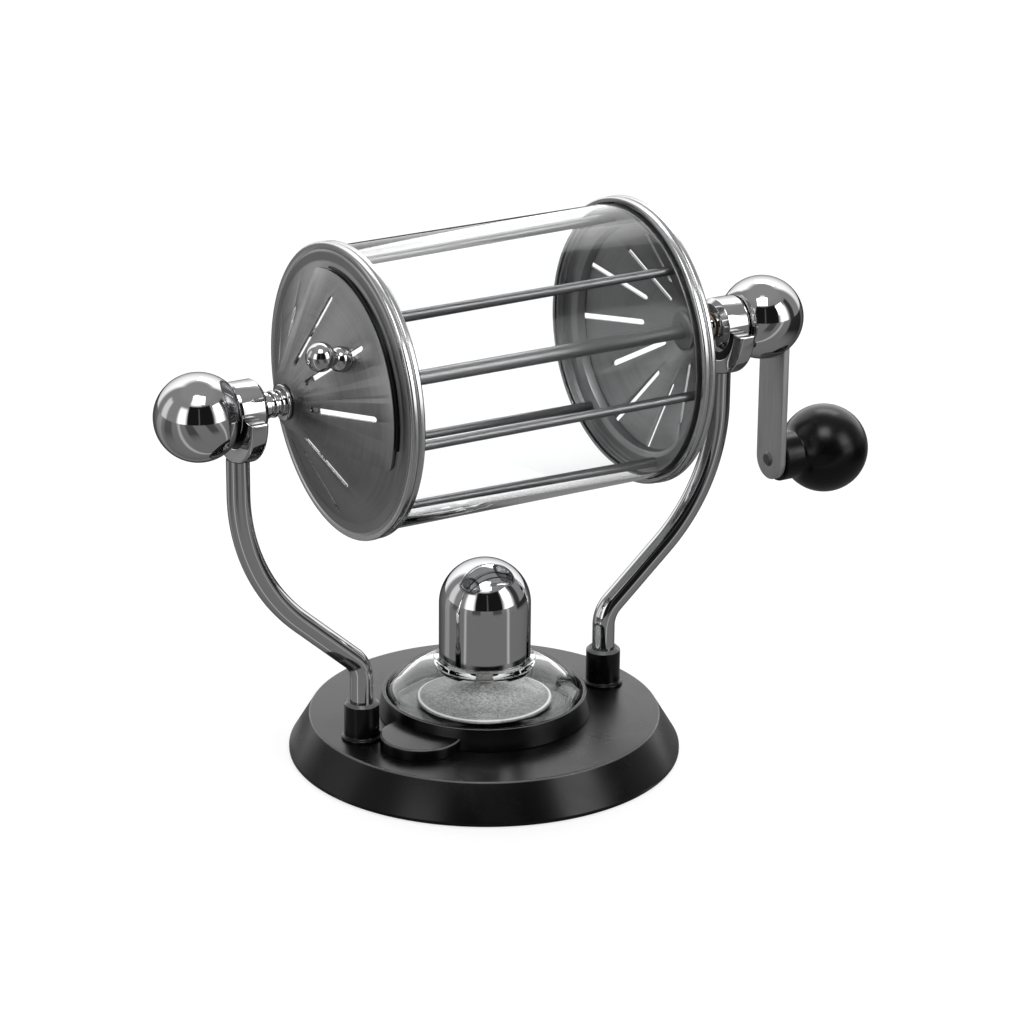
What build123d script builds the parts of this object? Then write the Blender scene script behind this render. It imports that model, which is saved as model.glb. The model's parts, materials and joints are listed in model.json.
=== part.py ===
from build123d import *
import os
from math import atan, cos, degrees, radians, sin, sqrt, tan

# A hand cranked coffee roaster for the table. A glass drum turns about a level axle over a spirit lamp.
# Sizes are in millimetres. The origin is the centre of the foot of the base, +Z is up, the drum's axis lies
# along X and the crank is at +X. Angles about the drum's axis are measured from the front (-Y) over the top.

# Layout
axis_height = 133.3          # drum axis above the table
drum_offset = 1.9            # the drum rides this far towards the crank in its cradles
rod_lean = 0.4               # the tops of the support rods stand this far towards the crank

# Clearances
fit_gap = 0.05               # radial running clearance of a shaft in its bush
cradle_gap = 0.08            # radial clearance of a collar in its cradle's liner
loose_gap = 0.3              # between faces that pass each other
seat_gap = 0.05              # between a piece and what it stands on or is fixed in

# Base
base_radius = 65.0
base_skirt = 6.9             # the skirt leans in this far from the foot to the top
base_height = 13.1
base_land = 1.2              # upright edge at the foot of the base
base_edge_round = 0.5
pad_inset = 9.3              # from the foot of the base to the edge of the pad
pad_thickness = 1.4
pad_proud = 0.4              # the pad stands this far below the base

# Sockets and support rods
socket_inset = 11.8          # from the edge of the base's top to the middle of a socket
socket_wall = 1.95
socket_height = 13.1
socket_floor = 3.5
plate_under_socket = 3.5     # thickness of the base between a socket and its screw's head
socket_bead = 0.95           # the bead at the foot stands this far out
socket_bead_height = 1.4
socket_bead_edge = 0.8       # upright part of the bead
socket_chamfer = 1.0
screw_radius = 1.95
screw_head_radius = 3.7
screw_head_height = 3.0
screw_reach = 8.0            # how far the screw goes into the rod
rod_radius = 3.75
rod_bend_rise = 12.5         # from the socket's top to where the lines of the foot and the slope meet
rod_slope = 41.6             # degrees above level
rod_foot_bend = 10.0
rod_top_bend = 63.0
rod_bend_share = 0.6         # the upper bend takes at most this share of the slope

# Bearings
collar_radius = 9.2
collar_length = 10.0
collar_chamfer = 1.4
bush_radius = 5.0
cradle_width = 5.8
cradle_thickness = 4.8
cradle_round = 0.5
cradle_offset = 0.7          # from the middle of a collar out to the middle of its cradle
liner_thickness = 2.4        # dark half shell between a collar and its cradle
liner_round = 0.3

# Drum: glass, caps and what is inside
glass_radius = 45.7
glass_wall = 2.0
drum_half_length = 55.4      # from the middle to the outer edge of a cap's rim
rim_wall = 1.8
rim_width = 4.6
rim_groove = 0.6
rim_groove_width = 0.8
cap_thickness = 0.8
cone_inset = 5.8             # from the rim's edge to the foot of the cone
cone_step = 0.3              # the cone starts this far outside the rim's face
cone_height = 17.9
cone_top_radius = 8.0
gasket_thickness = 0.6
seat_ring_play = 0.4         # radial, inside the glass
seat_ring_length = 2.4
seat_ring_wall = 0.8
seat_flange_width = 4.9
axle_radius = 2.5
axle_reach = 13.4            # how far the axle goes into each ball
mixing_bar_radius = 1.5
mixing_bar_count = 6
mixing_bar_start = 50.0
mixing_bar_inset = 0.8       # from the seat ring to the bar
hub_nut_radius = 6.5
hub_nut_thickness = 1.5

# Slots in the caps: every third one lies nearer the hub
slot_width = 1.9
slot_count = 12
slot_start = 4.0
inner_slot_first = 1
inner_slot_every = 3
inner_slot_length = 19.6
inner_slot_margin = 2.8      # from the cone's narrow end
outer_slot_length = 21.0
outer_slot_margin = 3.8      # from the cone's foot

# Filling door on the left cap
door_centre = 42.0
door_half_angle = 52.0
door_margin = 2.0            # from the cone's foot to the door's outer edge
door_thickness = 0.8
door_corner_round = 2.0
door_slot_pitch = 38.5
door_slot_start = 4.3        # from the cone's narrow end
door_slot_margin = 5.5       # from the door's outer edge
door_slot_clearance = 8.0    # degrees of the cap kept free of slots beyond the door's corners
opening_inset = 3.0          # the opening lies this far inside the door's edges
opening_margin = 6.0         # from the cone's narrow end
door_hub_radius = 3.9
hub_flange_radius = 5.8
hub_flange_thickness = 1.3
hub_sleeve_radius = 4.3
hub_sleeve_length = 10.4
hub_groove_depth = 0.7
hub_groove_width = 1.2
door_knob_margin = 13.2      # from the door's outer edge to the middle of its knob
door_knob_bead_radius = 4.0
door_knob_bead_height = 1.5
door_knob_ball_radius = 4.65
door_knob_ball_height = 11.3
door_knob_neck_radius = 2.2
door_knob_stem_radius = 1.5

# Balls and crank
ball_radius = 14.07
ball_flat_depth = 10.2       # from the ball's centre to its flat face
arm_width = 14.3
arm_thickness = 2.6
arm_offset = 5.8             # from the ball's centre to the middle of the arm
arm_top = 2.5                # the arm's end below the drum's axis
arm_throw = 51.3             # from the drum's axis to the knob's pin
grub_radius = 1.5
grub_drop = 6.0              # below the drum's axis
pin_radius = 2.0
pin_head_radius = 2.6
pin_head_thickness = 0.8
pin_head_flat_radius = 1.8
pin_shoulder_radius = 3.0
pin_tip_length = 2.5         # past the clip
knob_radius = 15.15
knob_centre = 20.5           # from the arm's outer face to the centre of the knob's ball
knob_neck_radius = 8.2
knob_bore_radius = 5.0
knob_bush_length = 17.0
clip_thickness = 0.9
clip_radius = 4.4
clip_groove = 0.5

# Lamp
tray_to_socket = 4.3         # from the tray's foot to a socket's bead
tray_flare = 1.4             # the tray's wall leans in this far
tray_height = 7.4
tray_floor = 1.4
tray_wall = 1.2
tab_to_socket = 0.35         # from the thumb tab to a socket's bead
tab_reach = 0.7              # from the tray's foot to the middle of the tab
tab_direction = -155.0       # degrees from +X
tab_thickness = 4.0
tab_round = 0.7
tray_play = 0.4              # radial play of the lamp in its tray
lamp_wall = 2.0
lamp_foot_round = 3.0
lamp_body_height = 6.4
lamp_shoulder_height = 16.2
lamp_shoulder_bulge = (1.6, 0.6)  # out and up, at the middle of the shoulder
lamp_lip = 1.7               # the lip stands this far out of the snuffer
lamp_lip_height = 1.8
lamp_neck_radius = 10.6
lamp_neck_height = 6.0
punt_inset = 10.3            # from the lamp's side to the edge of the hollow in its foot
punt_height = 4.0
holder_flange_thickness = 1.5
holder_plug_depth = 4.0
holder_tube_radius = 3.6
holder_tube_below = 4.0
holder_tube_above = 4.0
wick_radius = 2.7
wick_round = 1.3
wick_above = 2.5
wick_below = 6.0
snuffer_play = 3.8           # radial, around the neck
snuffer_wall = 0.8
snuffer_side = 18.6          # height of the snuffer's straight side

# Worked out from the sizes above: stand
base_top_radius = base_radius - base_skirt
pad_radius = base_radius - pad_inset
socket_spread = base_top_radius - socket_inset
socket_radius = rod_radius + seat_gap + socket_wall
socket_bead_radius = socket_radius + socket_bead
rod_bend_height = base_height + socket_height + rod_bend_rise

# Drum
rim_radius = glass_radius + loose_gap + rim_wall
cone_radius = rim_radius - cone_inset
cap_outer = drum_half_length
cap_inner = cap_outer - cap_thickness
cone_start = cap_outer + cone_step
cone_end = cone_start + cone_height
cone_slant = atan(cone_height / (cone_radius - cone_top_radius))
glass_end = cap_inner - gasket_thickness
seat_ring_radius = glass_radius - glass_wall - seat_ring_play
seat_flange_radius = seat_ring_radius - seat_flange_width
inner_slot_start = cone_top_radius + inner_slot_margin
outer_slot_end = cone_radius - outer_slot_margin
inner_slot_radii = (inner_slot_start, inner_slot_start + inner_slot_length)
outer_slot_radii = (outer_slot_end - outer_slot_length, outer_slot_end)

# Door
door_outer_radius = cone_radius - door_margin
door_slot_radii = (cone_top_radius + door_slot_start, door_outer_radius - door_slot_margin)
opening_inner_radius = cone_top_radius + opening_margin
door_knob_seat = door_outer_radius - door_knob_margin
door_face = cone_end + loose_gap
hub_flange_start = door_face + door_thickness + loose_gap

# Bearings, balls and crank, outwards along the axle
collar_start = cone_end + hub_sleeve_length + loose_gap
rod_spread = collar_start + collar_length / 2 + cradle_offset
liner_bore = collar_radius + cradle_gap
cradle_bore = liner_bore + liner_thickness + seat_gap
cradle_radius = cradle_bore + cradle_thickness
ball_flat = collar_start + collar_length + loose_gap
ball_centre = ball_flat + ball_flat_depth
arm_outer_face = ball_centre + arm_offset + arm_thickness / 2
clip_start = arm_outer_face + loose_gap + knob_bush_length + loose_gap
pin_end = clip_start + clip_thickness + pin_tip_length

# Lamp
tray_foot_radius = socket_spread - socket_bead_radius - tray_to_socket
tray_radius = tray_foot_radius - tray_flare
tab_distance = tray_foot_radius + tab_reach
tab_x = tab_distance * cos(radians(tab_direction))
tab_y = tab_distance * sin(radians(tab_direction))
tab_radius = sqrt((tab_x + socket_spread) ** 2 + tab_y ** 2) - socket_bead_radius - tab_to_socket
lamp_foot = base_height + seat_gap + tray_floor + seat_gap
lamp_radius = tray_radius - tray_wall - tray_play
punt_radius = lamp_radius - punt_inset
snuffer_radius = lamp_neck_radius + snuffer_play + snuffer_wall
lamp_lip_radius = snuffer_radius + lamp_lip


def lathe_x(profile):
    """Turn a closed outline of (distance along the axle, radius) points about X."""
    face = make_face(Polyline(*profile, close=True))
    return revolve(face, Axis.X, 360)


def lathe_z(profile):
    """Turn a closed outline of (radius, height) points about Z."""
    face = make_face(Polyline(*[(r, 0, z) for r, z in profile], close=True))
    return revolve(face, Axis.Z, 360)


def rod_x(start, end, radius, centre=(0, 0)):
    """A plain round bar along X from start to end."""
    section = Pos(start, *centre) * Rot(0, 90, 0) * Circle(radius)
    return extrude(section, end - start, dir=(1, 0, 0))


def rod_z(start, end, radius, centre=(0, 0)):
    """A plain round bar along Z from start to end."""
    return extrude(Pos(*centre, start) * Circle(radius), end - start)


def front_angle(angle):
    """Turn an angle measured from the front over the top into one in the YZ plane."""
    return 180 - angle


def about_axis(radius, angle):
    """Y and Z of a point at a radius and an angle about the drum's axis."""
    return (-radius * cos(radians(angle)), radius * sin(radians(angle)))


def on_side(side, piece):
    """A piece made for the right end (side 1), or its mirror image for the left end (side -1)."""
    return piece if side > 0 else mirror(piece, about=Plane.YZ)


def on_drum(piece):
    """Put a piece made about the drum's middle where the drum hangs."""
    return Pos(drum_offset, 0, axis_height) * piece


# Stand

def base_plate():
    recess = pad_thickness - pad_proud
    plate = lathe_z([
        (0, pad_thickness),
        (pad_radius + seat_gap, pad_thickness),
        (pad_radius + seat_gap, pad_thickness - recess),
        (base_radius, pad_thickness - recess),
        (base_radius, pad_thickness - recess + base_land),
        (base_top_radius, base_height),
        (0, base_height),
    ])
    top_edge = plate.edges().filter_by(GeomType.CIRCLE).sort_by(Axis.Z)[-1]
    plate = fillet(top_edge, base_edge_round)
    for side in (-1, 1):
        foot = (side * socket_spread, 0)
        plate -= rod_z(0, base_height, screw_radius + fit_gap, foot)
        plate -= rod_z(0, base_height - plate_under_socket, screw_head_radius + loose_gap, foot)
    return plate


def base_pad():
    return rod_z(0, pad_thickness, pad_radius)


def rod_socket(side):
    top = base_height + socket_height
    socket = lathe_z([
        (0, base_height),
        (socket_bead_radius, base_height),
        (socket_bead_radius, base_height + socket_bead_edge),
        (socket_radius, base_height + socket_bead_height),
        (socket_radius, top - socket_chamfer),
        (socket_radius - socket_chamfer, top),
        (0, top),
    ])
    socket -= rod_z(base_height + socket_floor, top, rod_radius + seat_gap)
    socket -= rod_z(base_height, top, screw_radius + fit_gap)
    return Pos(side * socket_spread, 0, 0) * socket


def socket_screws():
    head_top = base_height - plate_under_socket
    screws = []
    for side in (-1, 1):
        foot = (side * socket_spread, 0)
        start = head_top - screw_head_height
        shank = rod_z(start, base_height + socket_floor + screw_reach, screw_radius, foot)
        head = rod_z(start, head_top, screw_head_radius, foot)
        screws.append(shank + head)
    return Compound(children=screws)


def rod_path(side):
    """Centre line of a rod: up out of its socket, out along the slope and up to its cradle."""
    foot_x = side * socket_spread
    top_x = side * rod_spread + rod_lean
    run = abs(top_x - foot_x)
    corner_height = rod_bend_height + run * tan(radians(rod_slope))
    half_turn = tan(radians(90 - rod_slope) / 2)
    slope_length = run / cos(radians(rod_slope))
    straight = min(axis_height - collar_radius - corner_height, slope_length * rod_bend_share)
    top_bend = min(rod_top_bend, straight / half_turn)
    return FilletPolyline(
        (foot_x, 0, base_height + socket_floor),
        (foot_x, 0, rod_bend_height),
        (top_x, 0, corner_height),
        (top_x, 0, axis_height - collar_radius),
        radius=[rod_foot_bend, top_bend],
    )


def support_rod(side):
    path = rod_path(side)
    section = Plane(origin=path @ 0, z_dir=path % 0) * Circle(rod_radius)
    rod = sweep(section, path)
    top_x = side * rod_spread + rod_lean
    hollow = rod_x(top_x - rod_radius * 2, top_x + rod_radius * 2, cradle_radius + seat_gap)
    rod -= Pos(0, 0, axis_height) * hollow
    foot = (side * socket_spread, 0)
    rod -= rod_z(0, base_height + socket_floor + screw_reach + seat_gap, screw_radius + fit_gap, foot)
    return rod


def half_ring(side, bore, radius, corner):
    """The lower half of a ring about the drum's axis, over the top of a rod."""
    ring = lathe_x([
        (-cradle_width / 2, bore),
        (-cradle_width / 2, radius - corner),
        (-cradle_width / 2 + corner, radius),
        (cradle_width / 2 - corner, radius),
        (cradle_width / 2, radius - corner),
        (cradle_width / 2, bore),
    ])
    size = 4 * radius
    upper_half = Box(size, size, size, align=(Align.CENTER, Align.CENTER, Align.MIN))
    return Pos(side * rod_spread + rod_lean, 0, axis_height) * (ring - upper_half)


def cradle(side):
    return half_ring(side, cradle_bore, cradle_radius, cradle_round)


def cradle_liner(side):
    return half_ring(side, liner_bore, liner_bore + liner_thickness, liner_round)


# Lamp

def lamp_tray():
    foot = base_height + seat_gap
    top = foot + tray_height
    tray = lathe_z([
        (0, foot),
        (tray_foot_radius, foot),
        (tray_radius, top),
        (tray_radius - tray_wall, top),
        (tray_radius - tray_wall, foot + tray_floor),
        (0, foot + tray_floor),
    ])
    tab = rod_z(foot, foot + tab_thickness, tab_radius, (tab_x, tab_y))
    tab = fillet(tab.edges().sort_by(Axis.Z)[-1], tab_round)
    inside = rod_z(foot + tray_floor, foot + tray_height, tray_radius - tray_wall)
    return tray + (tab - inside)


def lamp_outline(inset):
    """Half section of the lamp's bottle, drawn in from its outer face by inset."""
    foot = lamp_foot + inset
    body_top = lamp_foot + lamp_body_height
    shoulder_top = lamp_foot + lamp_shoulder_height
    radius = lamp_radius - inset
    neck = lamp_neck_radius - inset
    corner = lamp_foot_round
    bulge_out, bulge_up = lamp_shoulder_bulge
    middle_radius = (lamp_radius + lamp_lip_radius) / 2 + bulge_out - inset * sqrt(0.5)
    middle_height = (body_top + shoulder_top) / 2 + bulge_up - inset * sqrt(0.5)
    return [
        Polyline((0, 0, foot + punt_height), (punt_radius, 0, foot), (radius - corner, 0, foot)),
        ThreePointArc(
            (radius - corner, 0, foot),
            (radius - corner * (1 - sqrt(0.5)), 0, foot + corner * (1 - sqrt(0.5))),
            (radius, 0, foot + corner),
        ),
        Line((radius, 0, foot + corner), (radius, 0, body_top)),
        ThreePointArc(
            (radius, 0, body_top),
            (middle_radius, 0, middle_height),
            (lamp_lip_radius - inset, 0, shoulder_top - inset),
        ),
        Polyline(
            (lamp_lip_radius - inset, 0, shoulder_top - inset),
            (neck, 0, shoulder_top - inset),
            (neck, 0, shoulder_top + lamp_lip_height + lamp_neck_height),
            (0, 0, shoulder_top + lamp_lip_height + lamp_neck_height),
            (0, 0, foot + punt_height),
        ),
    ]


def lamp_glass():
    shoulder_top = lamp_foot + lamp_shoulder_height
    outer = revolve(make_face(lamp_outline(0)), Axis.Z, 360)
    outer += rod_z(shoulder_top - lamp_lip_height, shoulder_top + lamp_lip_height, lamp_lip_radius)
    inner = revolve(make_face(lamp_outline(lamp_wall)), Axis.Z, 360)
    return outer - inner


def neck_top():
    return lamp_foot + lamp_shoulder_height + lamp_lip_height + lamp_neck_height


def wick_holder():
    seat = neck_top() + seat_gap
    bore = lamp_neck_radius - lamp_wall - loose_gap
    holder = rod_z(seat, seat + holder_flange_thickness, lamp_neck_radius)
    holder += rod_z(seat - holder_plug_depth, seat, bore)
    holder += rod_z(
        seat - holder_plug_depth - holder_tube_below,
        seat + holder_flange_thickness + holder_tube_above,
        holder_tube_radius,
    )
    holder -= rod_z(lamp_foot, axis_height, wick_radius + seat_gap)
    return holder


def wick():
    seat = neck_top() + seat_gap
    bottom = seat - holder_plug_depth - holder_tube_below - wick_below
    top = seat + holder_flange_thickness + holder_tube_above + wick_above
    stick = rod_z(bottom, top, wick_radius)
    return fillet(stick.edges().sort_by(Axis.Z)[-1], wick_round)


def snuffer_cap():
    foot = lamp_foot + lamp_shoulder_height + lamp_lip_height + seat_gap
    middle = foot + snuffer_side
    shells = []
    for radius in (snuffer_radius, snuffer_radius - snuffer_wall):
        outline = [
            Line((0, 0, foot), (radius, 0, foot)),
            Line((radius, 0, foot), (radius, 0, middle)),
            ThreePointArc(
                (radius, 0, middle),
                (radius * sqrt(0.5), 0, middle + radius * sqrt(0.5)),
                (0, 0, middle + radius),
            ),
            Line((0, 0, middle + radius), (0, 0, foot)),
        ]
        shells.append(revolve(make_face(outline), Axis.Z, 360))
    return shells[0] - shells[1]


# Bearings

def bearing_collar(side):
    end = collar_start + collar_length
    collar = lathe_x([
        (collar_start, bush_radius + seat_gap),
        (collar_start, collar_radius - collar_chamfer),
        (collar_start + collar_chamfer, collar_radius),
        (end, collar_radius),
        (end, bush_radius + seat_gap),
    ])
    return on_drum(on_side(side, collar))


def bearing_bush(side):
    bush = rod_x(collar_start, collar_start + collar_length, bush_radius)
    bush -= rod_x(collar_start, collar_start + collar_length, axle_radius + fit_gap)
    return on_drum(on_side(side, bush))


# Drum

def cone_radius_at(x, depth=0):
    """Radius of the cap's cone at a distance along the axle, at a depth measured square to its outer face."""
    return cone_radius - (x - cone_start + depth / cos(cone_slant)) / tan(cone_slant)


def cone_place_at(radius, depth=0):
    """Distance along the axle of the cap's cone at a radius, and at a depth as above."""
    return cone_start + (cone_radius - radius) * tan(cone_slant) - depth / cos(cone_slant)


def cap_shell():
    """A spun steel cap for the right end, without its slots."""
    slip = glass_radius + loose_gap
    groove = cap_outer - rim_width / 2
    half_groove = rim_groove_width / 2
    inner_end = cone_end - cap_thickness
    return lathe_x([
        (cap_outer - rim_width, slip),
        (cap_outer - rim_width, rim_radius - rim_groove / 2),
        (groove - half_groove, rim_radius - rim_groove / 2),
        (groove, rim_radius - rim_groove),
        (groove + half_groove, rim_radius - rim_groove / 2),
        (groove + half_groove, rim_radius),
        (cap_outer - rim_groove, rim_radius),
        (cap_outer, rim_radius - rim_groove),
        (cone_start, cone_radius),
        (cone_end, cone_top_radius),
        (cone_end, axle_radius + seat_gap),
        (inner_end, axle_radius + seat_gap),
        (inner_end, cone_radius_at(inner_end, cap_thickness)),
        (cap_inner, cone_radius_at(cap_inner, cap_thickness)),
        (cap_inner, slip),
    ])


def radial_slot(radii, angle):
    """A cutter along X for a slot that points at the axle."""
    length = radii[1] - radii[0]
    slot = Pos((radii[0] + radii[1]) / 2, 0) * SlotOverall(length, slot_width)
    turned = Plane.YZ * (Rot(0, 0, front_angle(angle)) * slot)
    return extrude(turned, cone_end + 2 * cone_height, dir=(1, 0, 0))


def cap_slots(open_half_angle=0):
    """Cutters for the ring of slots, without those within an angle of the door's centre."""
    cutters = []
    for number in range(slot_count):
        angle = slot_start + number * 360 / slot_count
        away = abs((angle - door_centre + 180) % 360 - 180)
        if away >= open_half_angle:
            inner = number % inner_slot_every == inner_slot_first
            cutters.append(radial_slot(inner_slot_radii if inner else outer_slot_radii, angle))
    return cutters


def door_outline(inset, outer_radius, corner_round):
    """The door's flat outline: two edges that touch the hub's circle, and an arc."""
    hub = cone_top_radius - inset
    reach = 2 * outer_radius
    mid = front_angle(door_centre)
    corners = []
    for side in (1, -1):
        edge = radians(mid + side * door_half_angle)
        across = edge + side * radians(90)
        start = (hub * cos(across), hub * sin(across))
        corners.append((start, (start[0] + reach * cos(edge), start[1] + reach * sin(edge))))
    far = (reach * 2 * cos(radians(mid)), reach * 2 * sin(radians(mid)))
    wedge = make_face(Polyline(
        (0, 0), corners[0][0], corners[0][1], far, corners[1][1], corners[1][0], close=True,
    ))
    outline = wedge & Circle(outer_radius)
    tips = outline.vertices().sort_by(lambda v: v.X ** 2 + v.Y ** 2)[-2:]
    return fillet(tips, corner_round)


def end_cap(side):
    cap = cap_shell()
    if side < 0:
        cap = mirror(cap, about=Plane.YZ)
        opening = door_outline(opening_inset, door_outer_radius - opening_inset, door_corner_round)
        opening -= Circle(opening_inner_radius)
        cap -= extrude(Plane.YZ * opening, cone_end + cone_height, dir=(-1, 0, 0))
        corner_angle = door_half_angle + degrees(atan(cone_top_radius / door_outer_radius))
        shown_from = corner_angle + door_slot_clearance
        for cutter in cap_slots(shown_from):
            cap -= mirror(cutter, about=Plane.YZ)
    else:
        for cutter in cap_slots():
            cap -= cutter
    return on_drum(cap)


def glass_cylinder():
    tube = rod_x(-glass_end, glass_end, glass_radius)
    tube -= rod_x(-glass_end, glass_end, glass_radius - glass_wall)
    return on_drum(tube)


def glass_gasket(side):
    gasket = rod_x(glass_end, cap_inner, glass_radius)
    gasket -= rod_x(glass_end, cap_inner, glass_radius - glass_wall)
    return on_drum(on_side(side, gasket))


def seat_ring(side):
    start = cap_inner - seat_ring_length
    flange = cap_inner - seat_ring_wall
    inner = seat_ring_radius - seat_ring_wall
    ring = lathe_x([
        (start, seat_ring_radius),
        (start, inner),
        (flange, inner),
        (flange, seat_flange_radius),
        (cap_inner, seat_flange_radius),
        (cap_inner, seat_ring_radius),
    ])
    return on_drum(on_side(side, ring))


def axle():
    reach = ball_flat + axle_reach
    return on_drum(rod_x(-reach, reach, axle_radius))


def mixing_bar(number):
    half = cap_inner - seat_ring_wall
    radius = seat_ring_radius - seat_ring_wall - mixing_bar_inset - mixing_bar_radius
    angle = mixing_bar_start + number * 360 / mixing_bar_count
    return on_drum(rod_x(-half, half, mixing_bar_radius, about_axis(radius, angle)))


def hub_nut(side):
    end = cone_end - cap_thickness
    nut = rod_x(end - hub_nut_thickness, end, hub_nut_radius)
    nut -= rod_x(end - hub_nut_thickness, end, axle_radius + seat_gap)
    return on_drum(on_side(side, nut))


def hub_sleeve(side):
    """A flanged sleeve on the axle: it holds the cap, and on the left the door turns on its step."""
    bore = axle_radius + seat_gap
    flange_end = hub_flange_start + hub_flange_thickness
    outline = [(cone_end, bore)]
    if side < 0:
        outline += [(cone_end, door_hub_radius), (hub_flange_start, door_hub_radius)]
        outline += [(hub_flange_start, hub_flange_radius)]
    else:
        outline += [(cone_end, hub_flange_radius)]
    outline += [(flange_end, hub_flange_radius), (flange_end, hub_sleeve_radius)]
    for groove in (1, 3):
        start = flange_end + groove * hub_groove_width
        outline += [
            (start, hub_sleeve_radius),
            (start, hub_sleeve_radius - hub_groove_depth),
            (start + hub_groove_width, hub_sleeve_radius - hub_groove_depth),
            (start + hub_groove_width, hub_sleeve_radius),
        ]
    end = cone_end + hub_sleeve_length
    outline += [(end, hub_sleeve_radius), (end, bore)]
    return on_drum(on_side(side, lathe_x(outline)))


def plain_ball():
    """A ball for the right end, with a flat towards the collar and a blind hole for the axle."""
    flat_radius = sqrt(ball_radius ** 2 - (ball_centre - ball_flat) ** 2)
    bore = axle_radius + seat_gap
    bore_end = ball_flat + axle_reach + seat_gap
    outline = [
        Polyline(
            (ball_centre + ball_radius, 0),
            (bore_end, 0),
            (bore_end, bore),
            (ball_flat, bore),
            (ball_flat, flat_radius),
        ),
        ThreePointArc((ball_flat, flat_radius), (ball_centre, ball_radius), (ball_centre + ball_radius, 0)),
    ]
    return revolve(make_face(outline), Axis.X, 360)


def left_ball():
    return on_drum(on_side(-1, plain_ball()))


def right_ball():
    slot = Pos(ball_centre + arm_offset, 0, -arm_top + seat_gap) * Box(
        arm_thickness + 2 * seat_gap,
        arm_width + 2 * seat_gap,
        2 * ball_radius,
        align=(Align.CENTER, Align.CENTER, Align.MAX),
    )
    grub_hole = rod_x(arm_outer_face, ball_centre + ball_radius, grub_radius + seat_gap, (0, -grub_drop))
    return on_drum(plain_ball() - slot - grub_hole)


def crank_arm():
    straight = arm_throw - arm_top
    flat = Pos(0, -arm_top - straight / 2) * Rectangle(arm_width, straight)
    flat += Pos(0, -arm_throw) * Circle(arm_width / 2)
    flat -= Pos(0, -arm_throw) * Circle(pin_radius + seat_gap)
    arm = extrude(Plane.YZ * flat, arm_thickness, dir=(1, 0, 0))
    return on_drum(Pos(arm_outer_face - arm_thickness, 0, 0) * arm)


def crank_grub_screw():
    length = sqrt(ball_radius ** 2 - grub_drop ** 2) - arm_offset - arm_thickness / 2 - grub_radius
    return on_drum(rod_x(arm_outer_face, arm_outer_face + length, grub_radius, (0, -grub_drop)))


def knob_pin():
    """The pin, riveted in the arm, with a shoulder that the knob turns on and a groove for its clip."""
    inner_face = arm_outer_face - arm_thickness
    pin = lathe_x([
        (inner_face - pin_head_thickness, 0),
        (inner_face - pin_head_thickness, pin_head_flat_radius),
        (inner_face, pin_head_radius),
        (inner_face, pin_radius),
        (arm_outer_face, pin_radius),
        (arm_outer_face, pin_shoulder_radius),
        (clip_start, pin_shoulder_radius),
        (clip_start, pin_shoulder_radius - clip_groove),
        (clip_start + clip_thickness, pin_shoulder_radius - clip_groove),
        (clip_start + clip_thickness, pin_shoulder_radius),
        (pin_end, pin_shoulder_radius),
        (pin_end, 0),
    ])
    return on_drum(Pos(0, 0, -arm_throw) * pin)


def knob_clip():
    clip = rod_x(clip_start, clip_start + clip_thickness, clip_radius)
    clip -= rod_x(clip_start, clip_start + clip_thickness, pin_shoulder_radius - clip_groove + seat_gap)
    return on_drum(Pos(0, 0, -arm_throw) * clip)


def crank_knob():
    start = arm_outer_face + loose_gap
    centre = arm_outer_face + knob_centre
    knob = Pos(centre, 0, 0) * Sphere(knob_radius)
    knob += rod_x(start, centre, knob_neck_radius)
    knob -= rod_x(start, pin_end + loose_gap, knob_bore_radius)
    return on_drum(Pos(0, 0, -arm_throw) * knob)


def knob_bush():
    start = arm_outer_face + loose_gap
    bush = rod_x(start, start + knob_bush_length, knob_bore_radius - seat_gap)
    bush -= rod_x(start, start + knob_bush_length, pin_shoulder_radius + fit_gap)
    return on_drum(Pos(0, 0, -arm_throw) * bush)


# Door

def fill_door():
    """A sector of a cone that lies over the opening and turns on the left hub sleeve."""
    reach = door_outer_radius + door_thickness
    outer_face = door_face + door_thickness
    under = -loose_gap
    over = under - door_thickness
    sheet = lathe_x([
        (door_face, door_hub_radius + fit_gap),
        (door_face, cone_radius_at(door_face, under)),
        (cone_place_at(reach, under), reach),
        (cone_place_at(reach, over), reach),
        (outer_face, cone_radius_at(outer_face, over)),
        (outer_face, door_hub_radius + fit_gap),
    ])
    outline = door_outline(0, door_outer_radius, door_corner_round)
    outline += Circle(cone_top_radius)
    door = sheet & extrude(Plane.YZ * outline, cone_end + cone_height, dir=(1, 0, 0))
    for step in (-1, 0, 1):
        door -= radial_slot(door_slot_radii, door_centre + step * door_slot_pitch)
    door -= door_knob_place() * Cylinder(door_knob_stem_radius + seat_gap, 4 * door_thickness)
    return on_drum(mirror(door, about=Plane.YZ))


def door_knob_place():
    """Where the knob stands on the door: +Z is square to the cone and the origin is on the inner face."""
    y, z = about_axis(door_knob_seat, door_centre)
    x = cone_place_at(door_knob_seat, -loose_gap)
    up = Vector(cos(cone_slant), *about_axis(sin(cone_slant), door_centre))
    return Plane(origin=(x, y, z), z_dir=up)


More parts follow.
